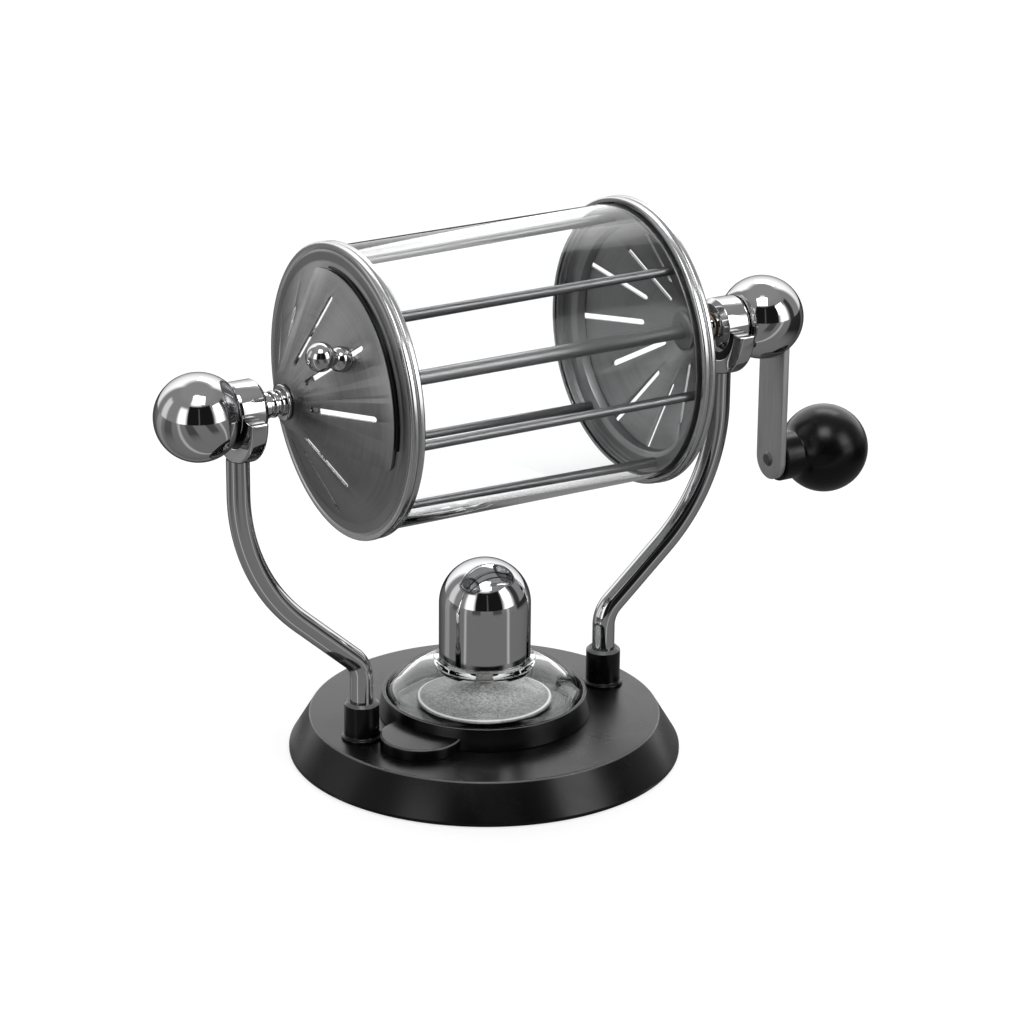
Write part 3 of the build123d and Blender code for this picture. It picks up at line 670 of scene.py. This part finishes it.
for x, end in ((-socket["spread"], "left"), (socket["spread"], "right")):
    piece = upright(end + "Socket", [
        (base["top"], socket["screwHole"]),
        (base["top"], socket["flange"], 0.15),
        (base["top"] + socket["flangeTop"], socket["flange"], 0.4),
        (base["top"] + socket["waist"], socket["radius"], 0.6),
        (socket["top"] - socket["chamfer"], socket["radius"], 0.35),
        (socket["top"], socket["radius"] - socket["chamfer"], 0.3),
        (socket["top"], socket["bore"], 0.1),
        (socket["floor"], socket["bore"]),
        (socket["floor"], socket["screwHole"]),
    ], x)
    placeOn(piece, "stand", "black_paint", blackPaint, end + "_rod_socket")
print("base done")

# support rods: a ring of points is pulled up, round the lower bend, along the slope and round the upper bend
rod = {
    "radius": 3.75, "foot": 16.6, "cornerHeight": 38.7, "slope": 41.6, "lowBend": 10.0, "highBend": 63.0,
    "spread": 90.0, "lean": 0.4, "top": 117.3,
}


def bendRod(centre, turn):
    spinSelected(24, turn, Vector(centre) * mm, (0, 1, 0))


def pullRod(x, z):
    bpy.ops.mesh.extrude_region_move(TRANSFORM_OT_translate={"value": Vector((x, 0, z)) * mm})


for side, end in ((-1, "left"), (1, "right")):
    foot = side * socket["spread"]
    top = side * rod["spread"] + rod["lean"]
    slope = math.radians(rod["slope"])
    turn = 90 - rod["slope"]
    lowReach = rod["lowBend"] * math.tan(math.radians(turn) / 2)
    highReach = rod["highBend"] * math.tan(math.radians(turn) / 2)
    run = abs(top - foot)
    straight = run / math.cos(slope) - lowReach - highReach
    corner = rod["cornerHeight"] + run * math.tan(slope)
    deselectAll()
    bpy.ops.mesh.primitive_circle_add(
        vertices=48, radius=rod["radius"] * mm, fill_type="NGON", location=Vector((foot, 0, rod["foot"])) * mm,
    )
    piece = bpy.context.object
    piece.name = end + "Rod"
    bpy.ops.object.transform_apply(location=True, rotation=True, scale=True)
    bpy.ops.object.mode_set(mode="EDIT")
    bpy.ops.mesh.select_all(action="SELECT")
    pullRod(0, rod["cornerHeight"] - lowReach - rod["foot"])
    bendRod((foot + side * rod["lowBend"], 0, rod["cornerHeight"] - lowReach), side * turn)
    pullRod(side * straight * math.cos(slope), straight * math.sin(slope))
    bendRod((top - side * rod["highBend"], 0, corner + highReach), -side * turn)
    pullRod(0, rod["top"] - corner - highReach)
    weld()
    finishMesh()
    placeOn(piece, "stand", "polished_chrome", chrome, end + "_support_rod")

# half rings that carry the bearings, each with a dark liner
cradle = {"bore": 11.73, "radius": 16.53, "half": 2.9, "linerBore": 9.28, "linerRadius": 11.68, "linerHalf": 2.6}


def halfRing(name, x, bore, radius, half, inner, outer):
    piece = turned(name, [
        (-half, bore, inner), (-half, radius, outer), (half, radius, outer), (half, bore, inner),
    ], (x, 0, drumZ), (1, 0, 0), (0, -1, 0), steps=72, sweep=180)
    closeEnds(piece)
    softenEdges(piece, 0.25, 2, 60)
    return piece


for side, end in ((-1, "left"), (1, "right")):
    x = side * rod["spread"] + rod["lean"]
    piece = halfRing(end + "Cradle", x, cradle["bore"], cradle["radius"], cradle["half"], 0.4, 1.0)
    placeOn(piece, "stand", "polished_chrome", chrome, end + "_cradle")
    piece = halfRing(end + "Liner", x, cradle["linerBore"], cradle["linerRadius"], cradle["linerHalf"], 0.3, 0.3)
    placeOn(piece, "stand", "black_knob_plastic", knobPlastic, end + "_cradle_liner")
print("stand done")

# lamp: tray with its thumb tab, bottle, pad and snuffer
tray = {
    "foot": 13.15, "footRadius": 35.3, "radius": 33.9, "top": 20.55, "floor": 14.55, "inside": 32.7,
    "tabX": -32.63, "tabY": -15.21, "tabRadius": 13.4, "tabTop": 17.15, "tabStart": 33.1,
}
trayRing = upright("lampTray", [
    (tray["foot"], 0),
    (tray["foot"], tray["footRadius"], 0.3),
    (tray["top"], tray["radius"], 0.35),
    (tray["top"], tray["inside"], 0.35),
    (tray["floor"], tray["inside"], 0.5),
    (tray["floor"], 0),
], steps=160, closed=False)
tab = upright("thumbTab", [
    (tray["foot"], 0), (tray["foot"], tray["tabRadius"], 0.2),
    (tray["tabTop"], tray["tabRadius"], 0.8), (tray["tabTop"], 0),
], tray["tabX"], tray["tabY"], closed=False)
cut(tab, roundBar("trayInside", (0, 0, tray["floor"]), (0, 0, 40), tray["tabStart"], (0, 0, 1)))
cut(trayRing, tab, "UNION")
placeOn(trayRing, "tray", "black_paint", blackPaint, "lamp_tray")

bottle = {
    "floorBelow": [(18.6, 0), (17.6, 13.0, 8), (14.7, 22.0, 3)],
    "side": [(14.6, 32.3, 3.2), (21.2, 32.3, 3.0)],
    "shoulder": [(26.7, 26.3, 16), (30.1, 17.0, 0.9)],
    "ledge": [(30.5, 16.1, 0.3), (30.9, 16.9, 0.3), (32.6, 16.9, 0.8), (32.6, 10.6, 0.4)],
    "neck": [(38.6, 10.6, 0.6), (38.6, 8.6, 0.6), (28.9, 8.6, 2.0)],
    "inside": [(27.9, 15.5, 1.5), (25.0, 24.7, 14), (20.3, 30.3, 3), (16.7, 30.3, 2.4)],
    "floorAbove": [(16.7, 22.3, 3), (19.5, 13.0, 8), (20.6, 0)],
}
bottleGlass = upright("lampBottle", sum(bottle.values(), []), steps=192, closed=False)
placeOn(bottleGlass, "lamp", "clear_glass", lampGlass, "lamp_glass")
pad = {
    "below": [(20.75, 0), (19.7, 13.0, 8), (17.1, 21.4, 1)],
    "rim": [(17.3, 22.5, 0.3), (18.0, 22.1, 0.5)],
    "heap": [(21.0, 12.0, 8), (23.9, 3.0, 6), (24.2, 0)],
}
placeOn(upright("fuelPad", sum(pad.values(), []), steps=160, closed=False), "lamp", "cotton", fuelPad)
snuffer = {"radius": 15.2, "foot": 32.65, "middle": 51.25, "wall": 0.8}
inside = snuffer["radius"] - snuffer["wall"]
domeOutline = (
    [(snuffer["foot"], inside, 0.25), (snuffer["foot"], snuffer["radius"], 0.45)]
    + arcPoints(snuffer["middle"], 0, snuffer["radius"], 90, 0, 28)
    + arcPoints(snuffer["middle"], 0, inside, 0, 90, 28)
)
snufferDome = upright("snufferDome", domeOutline, steps=160)
placeOn(snufferDome, "snuffer", "polished_chrome", chrome, "snuffer_cap")
print("lamp done")

# bearings, hubs and balls
collar = {
    "start": 84.3, "end": 94.3, "bore": 5.05, "nose": 7.6, "noseEnd": 85.9, "radius": 9.2,
    "taperFrom": 93.4, "taperRadius": 8.9,
}
bothEnds("Collar", [
    (collar["start"], collar["bore"]), (collar["start"], collar["nose"], 0.3),
    (collar["noseEnd"], collar["radius"], 0.5), (collar["taperFrom"], collar["radius"], 0.2),
    (collar["end"], collar["taperRadius"], 0.2), (collar["end"], collar["bore"]),
], "bearings", "polished_chrome", chrome, "bearing_collar")
axleBore = 2.55
hub = {
    "start": 73.6, "stepEnd": 75.0, "step": 3.9, "flangeEnd": 76.3, "flange": 5.8, "end": 84.0, "radius": 4.3,
    "grooves": [(77.5, 78.7), (79.9, 81.1)], "groove": 3.5,
}
for side, end in ((-1, "left"), (1, "right")):
    outline = [(hub["start"], axleBore)]
    if side < 0:         # the left one has a step that the door turns on
        outline += [(hub["start"], hub["step"]), (hub["stepEnd"], hub["step"]), (hub["stepEnd"], hub["flange"], 0.35)]
    else:
        outline += [(hub["start"], hub["flange"], 0.35)]
    outline += [(hub["flangeEnd"], hub["flange"], 0.45), (hub["flangeEnd"], hub["radius"])]
    for start, stop in hub["grooves"]:
        outline += [(start, hub["radius"], 0.3), (start, hub["groove"])]
        outline += [(stop, hub["groove"]), (stop, hub["radius"], 0.3)]
    outline += [(hub["end"], hub["radius"], 0.3), (hub["end"], axleBore)]
    piece = onAxle(end + "HubSleeve", outline, side, steps=96)
    placeOn(piece, "drum", "polished_chrome", chrome, end + "_hub_sleeve")
ball = {"radius": 14.07, "centre": 104.8, "flat": 94.6, "flatRadius": 9.35, "roundFrom": 0.35, "boreEnd": 108.05}
flatAngle = 180 - math.degrees(math.acos((ball["centre"] - ball["flat"] - ball["roundFrom"]) / ball["radius"]))
ballOutline = [
    (ball["boreEnd"], 0), (ball["boreEnd"], axleBore),
    (ball["flat"], axleBore), (ball["flat"], ball["flatRadius"], 0.15),
] + arcPoints(ball["centre"], 0, ball["radius"], flatAngle, 0, 40)
placeOn(onAxle("leftBall", ballOutline, -1, steps=144, closed=False), "drum", "polished_chrome", chrome, "left_ball")
arm = {
    "near": 109.3, "far": 111.9, "width": 14.3, "top": -2.5, "throw": 51.3, "pinHole": 2.05,
    "gap": 0.05, "slotFoot": -30.0,      # the slot in the ball
}
rightBall = onAxle("rightBall", ballOutline, 1, steps=144, closed=False)
cut(rightBall, block(
    "armSlot",
    (drumX + arm["near"] - arm["gap"], -arm["width"] / 2 - arm["gap"], drumZ + arm["slotFoot"]),
    (drumX + arm["far"] + arm["gap"], arm["width"] / 2 + arm["gap"], drumZ + arm["top"] + arm["gap"]),
))
placeOn(rightBall, "drum", "polished_chrome", chrome, "right_ball")
nut = {"start": 71.3, "end": 72.8, "radius": 6.5, "face": 5.6, "faceEnd": 71.7}
bothEnds("HubNut", [
    (nut["start"], axleBore), (nut["start"], nut["face"], 0.3), (nut["faceEnd"], nut["radius"], 0.3),
    (nut["end"], nut["radius"], 0.1), (nut["end"], axleBore),
], "drum", "plain_steel", plainSteel, "hub_nut")

# crank arm: a bar whose foot is rounded right over
pinX = drumX + arm["near"]
pinZ = drumZ - arm["throw"]
deselectAll()
crankArm = block(
    "crankArm",
    (pinX, -arm["width"] / 2, pinZ - arm["width"] / 2),
    (drumX + arm["far"], arm["width"] / 2, drumZ + arm["top"]),
)
selectEdges(crankArm, lambda a, b: a.z < pinZ * mm and b.z < pinZ * mm and abs(a.x - b.x) > mm)
bpy.ops.mesh.bevel(offset=(arm["width"] / 2 - 0.02) * mm, segments=20, affect="EDGES")
bpy.ops.object.mode_set(mode="OBJECT")
softenEdges(crankArm, 0.45, 3, 50)
cut(crankArm, roundBar("pinHole", (pinX - 5, 0, pinZ), (pinX + 10, 0, pinZ), arm["pinHole"]))
placeOn(crankArm, "drum", "satin_arm_steel", armSteel, "crank_arm")
knob = {
    "start": 112.2, "neck": 8.2, "neckEnd": 119.3, "flare": 0.7, "centre": 132.4, "radius": 15.15,
    "bore": 5.05, "boreEnd": 129.8,
}
neckAngle = 180 - math.degrees(math.asin((knob["neck"] + knob["flare"]) / knob["radius"]))
knobOutline = [
    (knob["boreEnd"], 0), (knob["boreEnd"], knob["bore"]), (knob["start"], knob["bore"]),
    (knob["start"], knob["neck"], 0.6), (knob["neckEnd"], knob["neck"], 0.8),
] + arcPoints(knob["centre"], 0, knob["radius"], neckAngle, 0, 40)
crankKnob = turned("crankKnob", knobOutline, (drumX, 0, pinZ), (1, 0, 0), steps=144, closed=False)
placeOn(crankKnob, "knob", "black_knob_plastic", knobPlastic, "crank_knob")
print("crank done")

# drum: glass, rolled caps with their slots, and the rings inside
glass = {"end": 54.0, "radius": 45.7, "wall": 2.0}
tube = onAxle("drumTube", [
    (-glass["end"], glass["radius"] - glass["wall"], 0.5), (-glass["end"], glass["radius"], 0.7),
    (glass["end"], glass["radius"], 0.7), (glass["end"], glass["radius"] - glass["wall"], 0.5),
], steps=256)
placeOn(tube, "drum", "clear_glass", drumGlass, "glass_cylinder")
cap = {
    "slip": 46.0, "coneStart": 55.7, "coneRadius": 42.0, "coneEnd": 73.6, "coneTop": 8.0,
    "insideStart": 54.6, "insideRadius": 42.37, "insideEnd": 72.8, "insideTop": 7.8,
    "rim": [
        (50.8, 46.0, 0.15), (50.8, 47.65, 0.75), (52.9, 47.65, 0.75), (53.1, 46.7, 0.15), (53.3, 47.8, 0.7),
        (55.4, 47.8, 0.9), (55.4, 46.1, 0.4), (55.1, 45.4, 0.4), (55.5, 44.6, 0.5),
    ],
}
capOutline = cap["rim"] + [
    (cap["coneStart"], cap["coneRadius"], 2.5), (cap["coneEnd"], cap["coneTop"], 1.6),
    (cap["coneEnd"], axleBore), (cap["insideEnd"], axleBore), (cap["insideEnd"], cap["insideTop"], 1.2),
    (cap["insideStart"], cap["insideRadius"], 2.5), (cap["insideStart"], cap["slip"]),
]
slots = {
    "count": 12, "start": 4, "width": 1.9, "outer": (17.2, 38.2), "inner": (10.8, 30.4),
    "cutterHalf": 60.0, "cutterAt": 70.0,
}
door = {
    "centre": 42, "halfAngle": 52, "outer": 40.0, "hub": 8.0,
    "inset": 3.0, "openingFrom": 14.0, "cutFrom": 50.0, "cutDepth": 40.0,     # the opening under it
    "noSlots": 71,       # the cap's own slots start this far from the door's middle
}


def radialSlot(radii, angle, side, wide):
    # a long rounded bar along the axle, turned to its angle, to cut with
    deselectAll()
    low, high = radii
    bar = block("slot", (-slots["cutterHalf"], -high, -wide / 2), (slots["cutterHalf"], -low, wide / 2))
    selectEdges(bar, lambda a, b: abs(a.x - b.x) > mm)
    bpy.ops.mesh.bevel(offset=wide * 0.49 * mm, segments=6, affect="EDGES")
    bpy.ops.object.mode_set(mode="OBJECT")
    place = Matrix.Translation(Vector((drumX + side * slots["cutterAt"], 0, drumZ)) * mm)
    bar.matrix_world = place @ Matrix.Rotation(math.radians(-angle), 4, "X")
    return bar


def doorOpening():
    # the sector under the filling door, drawn as a flat outline and pulled through the cap
    places = []
    for radius, way, steps in ((door["outer"] - door["inset"], 1, 40), (door["openingFrom"], -1, 20)):
        reach = door["halfAngle"] + math.degrees(math.asin((door["hub"] - door["inset"]) / radius))
        for k in range(steps + 1):
            angle = door["centre"] + way * reach * (2 * k / steps - 1)
            places.append(aboutAxle(drumX - door["cutFrom"], radius, angle) * mm)
    opening = drawnLine(places + places[:1])
    weld()
    bpy.ops.mesh.edge_face_add()
    bpy.ops.mesh.extrude_region_move(TRANSFORM_OT_translate={"value": Vector((-door["cutDepth"], 0, 0)) * mm})
    finishMesh()
    return opening


for side, end in ((-1, "left"), (1, "right")):
    piece = onAxle(end + "Cap", capOutline, side, steps=192)
    cutters = []
    for number in range(slots["count"]):
        angle = slots["start"] + 360 / slots["count"] * number
        if side < 0 and abs((angle - door["centre"] + 180) % 360 - 180) < door["noSlots"]:
            continue
        radii = slots["inner"] if number % 3 == 1 else slots["outer"]      # every third one lies nearer the hub
        cutters.append(radialSlot(radii, angle, side, slots["width"]))
    if side < 0:
        cutters.append(doorOpening())
    cut(piece, joined(cutters))
    softenEdges(piece, 0.12, 2, 40)
    placeOn(piece, "drum", "brushed_cap_steel", capSteel, end + "_end_cap", angle=30)
seatRing = {
    "edge": [(50.2, 43.3, 0.3), (50.2, 42.7, 0.3)],
    "steps": [(51.6, 42.6, 0.2), (51.7, 42.1, 0.2), (53.1, 42.1, 0.2), (53.3, 41.4, 0.3)],
    "lip": [(53.3, 38.9, 0.5), (54.4, 37.2, 0.5), (57.2, 36.6, 0.3), (57.2, 37.2, 0.3), (55.0, 38.4, 0.3)],
    "back": [(54.6, 38.8, 0.1), (54.6, 43.3, 0.1)],
}
bothEnds("SeatRing", sum(seatRing.values(), []), "drum", "brushed_cap_steel", capSteel, "seat_ring", steps=192)
fillDoor = softenedCopy("fill_door", "fillDoor", 0.16)
placeOn(fillDoor, "door", "brushed_cap_steel", capSteel, "fill_door", angle=30)
# painted shade: a thin black strip under the door's outer edge, standing in for the shadow gap there
doorShadowStrip = {
    "from": -10, "sweep": 104,
    "outline": [(56.62, 40.3), (57.62, 40.5, 0.15), (57.4, 41.1, 0.2), (56.3, 40.95)],
}
start = math.radians(doorShadowStrip["from"])
shadowStrip = turned(
    "doorShadowStrip", doorShadowStrip["outline"], drumCentre, (-1, 0, 0), (0, -math.cos(start), math.sin(start)),
    steps=64, sweep=doorShadowStrip["sweep"],
)
closeEnds(shadowStrip)
placeOn(shadowStrip, "door", "black_knob_plastic", knobPlastic)
coneSlope = math.atan((cap["coneEnd"] - cap["coneStart"]) / (cap["coneRadius"] - cap["coneTop"]))
finial = {
    "seat": 26.8, "lift": 0.3, "stem": 1.5, "stemEnd": 0.8, "bead": 4.0, "beadAt": 2.3,
    "neck": 2.2, "neckFrom": 6.0, "neckTo": 7.6, "ball": 4.65, "ballAt": 12.1,
}
aimed = math.radians(door["centre"])
finialX = cap["coneStart"] + (cap["coneRadius"] - finial["seat"]) * math.tan(coneSlope)
finialX += finial["lift"] / math.cos(coneSlope)
finialFoot = aboutAxle(drumX - finialX, finial["seat"], door["centre"])
finialUp = (-math.cos(coneSlope), -math.sin(coneSlope) * math.cos(aimed), math.sin(coneSlope) * math.sin(aimed))
beadFrom = 180 - math.degrees(math.acos((finial["beadAt"] - finial["stemEnd"]) / finial["bead"]))
finialOutline = (
    [(0, 0), (0, finial["stem"]), (finial["stemEnd"], finial["stem"])]
    + arcPoints(finial["beadAt"], 0, finial["bead"], beadFrom, 37, 14)
    + [(finial["neckFrom"], finial["neck"], 0.4), (finial["neckTo"], finial["neck"], 0.4)]
    + arcPoints(finial["ballAt"], 0, finial["ball"], 148, 0, 24)
)
doorKnob = turned(
    "doorKnob", finialOutline, finialFoot, finialUp, (0, -math.sin(aimed), -math.cos(aimed)), steps=96, closed=False,
)
placeOn(doorKnob, "door", "polished_chrome", chrome, "door_knob")
print("drum done")


# ---- studio: floor, lamps, world and camera

studio = {
    "floorSize": 9.0,
    "floorColor": 0.32,
    "floorLift": 0.74,       # how much of the floor's white the camera sees whatever the light
    "sky": 0.3,
    "ceiling": 0.34,
    "sheet": 1.65,           # level of a bright sheet behind the object
    "sheetFrom": 128,        # the bearing, to either side, where it starts
    "sheetTop": 54,          # the height where the ceiling takes over
    "patches": [             # bearing from and to, height from and to, level, softness
        (-24, 45, -17, 45, 0.012, 2),
        (6, 9, -5, 40, 0.13, 1.5),
        (-50, -27, -4, 36, 1.7, 5),
        (50, 76, -6, 34, 1.7, 5),
        (-104, -84, -4, 34, 0.9, 4),
        (-22, 18, 48, 76, 1.7, 5),
        (82, 98, -6, 40, 0.05, 3),
    ],
    "floorSeen": 0.21,       # level of the floor's painted glow, as metal and paint see it
    "glowSectorsFrom": (0.17, 0.42),       # metres from the middle over which the painted dark sectors of the floor's glow come in
    "floorCards": [          # painted reflection in the floor's glow: bearing from and to, level
        (-30, -10, 0.07),
        (20, 42, 0.07),
        (84, 128, 0.015),
        (-84, -64, 0.1),
        (-112, -94, 0.4),
        (146, 190, 0.03),
        (-190, -146, 0.03),
        (-49, -44, 0.6),
        (55, 61, 0.6),
    ],
}
shot = {
    "azimuth": -30.74,
    "elevation": 20.61,
    "roll": 0.49,
    "distance": 1.25198,
    "target": (0.01007, 0.0, 0.08125),
    "lens": 134.32,
}


def direction(azimuth, elevation):
    a = math.radians(azimuth)
    e = math.radians(elevation)
    return Vector((math.sin(a) * math.cos(e), -math.cos(a) * math.cos(e), math.sin(e)))


def makeCamera():
    back = direction(shot["azimuth"], shot["elevation"])
    a = math.radians(shot["azimuth"])
    right = Vector((math.cos(a), math.sin(a), 0))
    up = right.cross(-back)
    roll = math.radians(shot["roll"])
    turnedRight = right * math.cos(roll) + up * math.sin(roll)
    turnedUp = up * math.cos(roll) - right * math.sin(roll)
    data = bpy.data.cameras.new("camera")
    data.lens = shot["lens"]
    data.sensor_width = 36
    data.clip_start = 0.01
    data.clip_end = 30
    camera = bpy.data.objects.new("camera", data)
    scene.collection.objects.link(camera)
    turn = Matrix((turnedRight, turnedUp, back)).transposed().to_4x4()
    camera.matrix_world = Matrix.Translation(Vector(shot["target"]) + back * shot["distance"]) @ turn
    scene.camera = camera


def between(tree, value, low, high, soft):
    # 1 from low to high degrees, with edges of the given softness
    low, high, soft = (math.radians(n) for n in (low, high, soft))
    rise = rangeNode(tree, value, low - soft, low + soft, 0, 1, True)
    fall = rangeNode(tree, value, high + soft, high - soft, 0, 1, True)
    return times(tree, rise, fall)


def seenDirectly(tree, path):
    # 1 for the camera, and for what it sees through glass before any other bounce
    bounced = plus(tree, path.outputs["Glossy Depth"], path.outputs["Diffuse Depth"])
    through = times(tree, path.outputs["Is Transmission Ray"], mathNode(tree, "LESS_THAN", bounced, 0.5))
    return mathNode(tree, "MAXIMUM", path.outputs["Is Camera Ray"], through)


def grey(level):
    return (level,) * 3


def makeFloor():
    deselectAll()
    bpy.ops.mesh.primitive_plane_add(size=studio["floorSize"], location=(0, 0, 0))
    floor = bpy.context.object
    floor.name = "floor"
    material, tree, shader = startMaterial("floorPaper", grey(studio["floorColor"]), 0.0, 0.9)
    shader.inputs["Specular IOR Level"].default_value = 0.1
    path = tree.nodes.new("ShaderNodeLightPath")
    seen = seenDirectly(tree, path)
    lift = times(tree, seen, studio["floorLift"])
    place = splitVector(tree, objectVector(tree))
    x, y = place[0], place[1]
    a = math.radians(shot["azimuth"])
    toCamera = mathNode(tree, "SUBTRACT", times(tree, x, math.sin(a)), times(tree, y, math.cos(a)))
    toRight = plus(tree, times(tree, x, math.cos(a)), times(tree, y, math.sin(a)))
    bearing = mathNode(tree, "ARCTAN2", toRight, toCamera)
    far = rangeNode(tree, lengthOf(tree, x, y), *studio["glowSectorsFrom"], 0, 1, True)
    # painted reflection: metal and paint see the floor as a glow of given levels, with dark and bright sectors, in
    # place of the lit floor
    level = grey(studio["floorSeen"])
    for start, stop, value in studio["floorCards"]:
        mask = between(tree, bearing, start, stop, 3)
        if value < studio["floorSeen"]:
            mask = times(tree, mask, far)
        level = blendColor(tree, mask, level, grey(value))
    glossy = times(tree, path.outputs["Is Glossy Ray"], mathNode(tree, "SUBTRACT", 1, seen))
    tree.links.new(blendColor(tree, glossy, grey(studio["floorColor"]), grey(0)), shader.inputs["Base Color"])
    tree.links.new(blendColor(tree, glossy, grey(1.0), level), shader.inputs["Emission Color"])
    tree.links.new(mathNode(tree, "MAXIMUM", lift, glossy), shader.inputs["Emission Strength"])
    floor.data.materials.append(material)


def makeWorld():
    # the camera, and what it sees through glass, meet plain white; metal sees a grey studio with bright windows, a
    # bright sheet behind and the unlit room round the camera. Bearings go from the camera to its right, in degrees
    world = bpy.data.worlds.new("studioWorld")
    scene.world = world
    world.use_nodes = True
    tree = world.node_tree
    place = tree.nodes.new("ShaderNodeTexCoord")
    a = math.radians(shot["azimuth"])

    def along(axis):
        node = tree.nodes.new("ShaderNodeVectorMath")
        node.operation = "DOT_PRODUCT"
        tree.links.new(place.outputs["Generated"], node.inputs[0])
        node.inputs[1].default_value = axis
        return node.outputs["Value"]

    toCamera = along((math.sin(a), -math.cos(a), 0))
    toRight = along((math.cos(a), math.sin(a), 0))
    height = mathNode(tree, "ARCSINE", along((0, 0, 1)))
    bearing = mathNode(tree, "ARCTAN2", toRight, toCamera)
    fromFront = mathNode(tree, "ABSOLUTE", bearing)
    # 200 and 100 lie past the last bearing and height, so the sheet and the ceiling have one edge each
    behind = between(tree, fromFront, studio["sheetFrom"], 200, 8)
    level = blendColor(tree, behind, grey(studio["sky"]), grey(studio["sheet"]))
    overhead = between(tree, height, studio["sheetTop"], 100, 9)
    level = blendColor(tree, overhead, level, grey(studio["ceiling"]))
    for start, stop, low, high, value, soft in studio["patches"]:
        mask = times(tree, between(tree, bearing, start, stop, soft), between(tree, height, low, high, soft))
        level = blendColor(tree, mask, level, grey(value))
    seen = seenDirectly(tree, tree.nodes.new("ShaderNodeLightPath"))
    level = blendColor(tree, seen, level, grey(1.0))
    tree.links.new(level, tree.nodes["Background"].inputs["Color"])


lampAim = Vector((0, 0, 0.1))
lamps = {                    # bearing from the camera, elevation, distance, width, height, watts
    "overheadLamp": (4, 62, 1.5, 0.7, 0.6, 6.0),
    "rightLamp": (62, 30, 1.6, 0.6, 0.7, 3.5),
    "backLamp": (165, 48, 1.6, 0.9, 0.5, 4.0),
}


def addLamp(name, bearing, elevation, distance, width, height, power):
    data = bpy.data.lights.new(name, "AREA")
    data.shape = "RECTANGLE"
    data.size = width
    data.size_y = height
    data.energy = power
    lamp = bpy.data.objects.new(name, data)
    scene.collection.objects.link(lamp)
    back = direction(shot["azimuth"] + bearing, elevation)
    turn = (-back).to_track_quat("-Z", "Y").to_matrix().to_4x4()
    lamp.matrix_world = Matrix.Translation(lampAim + back * distance) @ turn


makeCamera()
makeFloor()
makeWorld()
for name, values in lamps.items():
    addLamp(name, *values)
print("studio done")
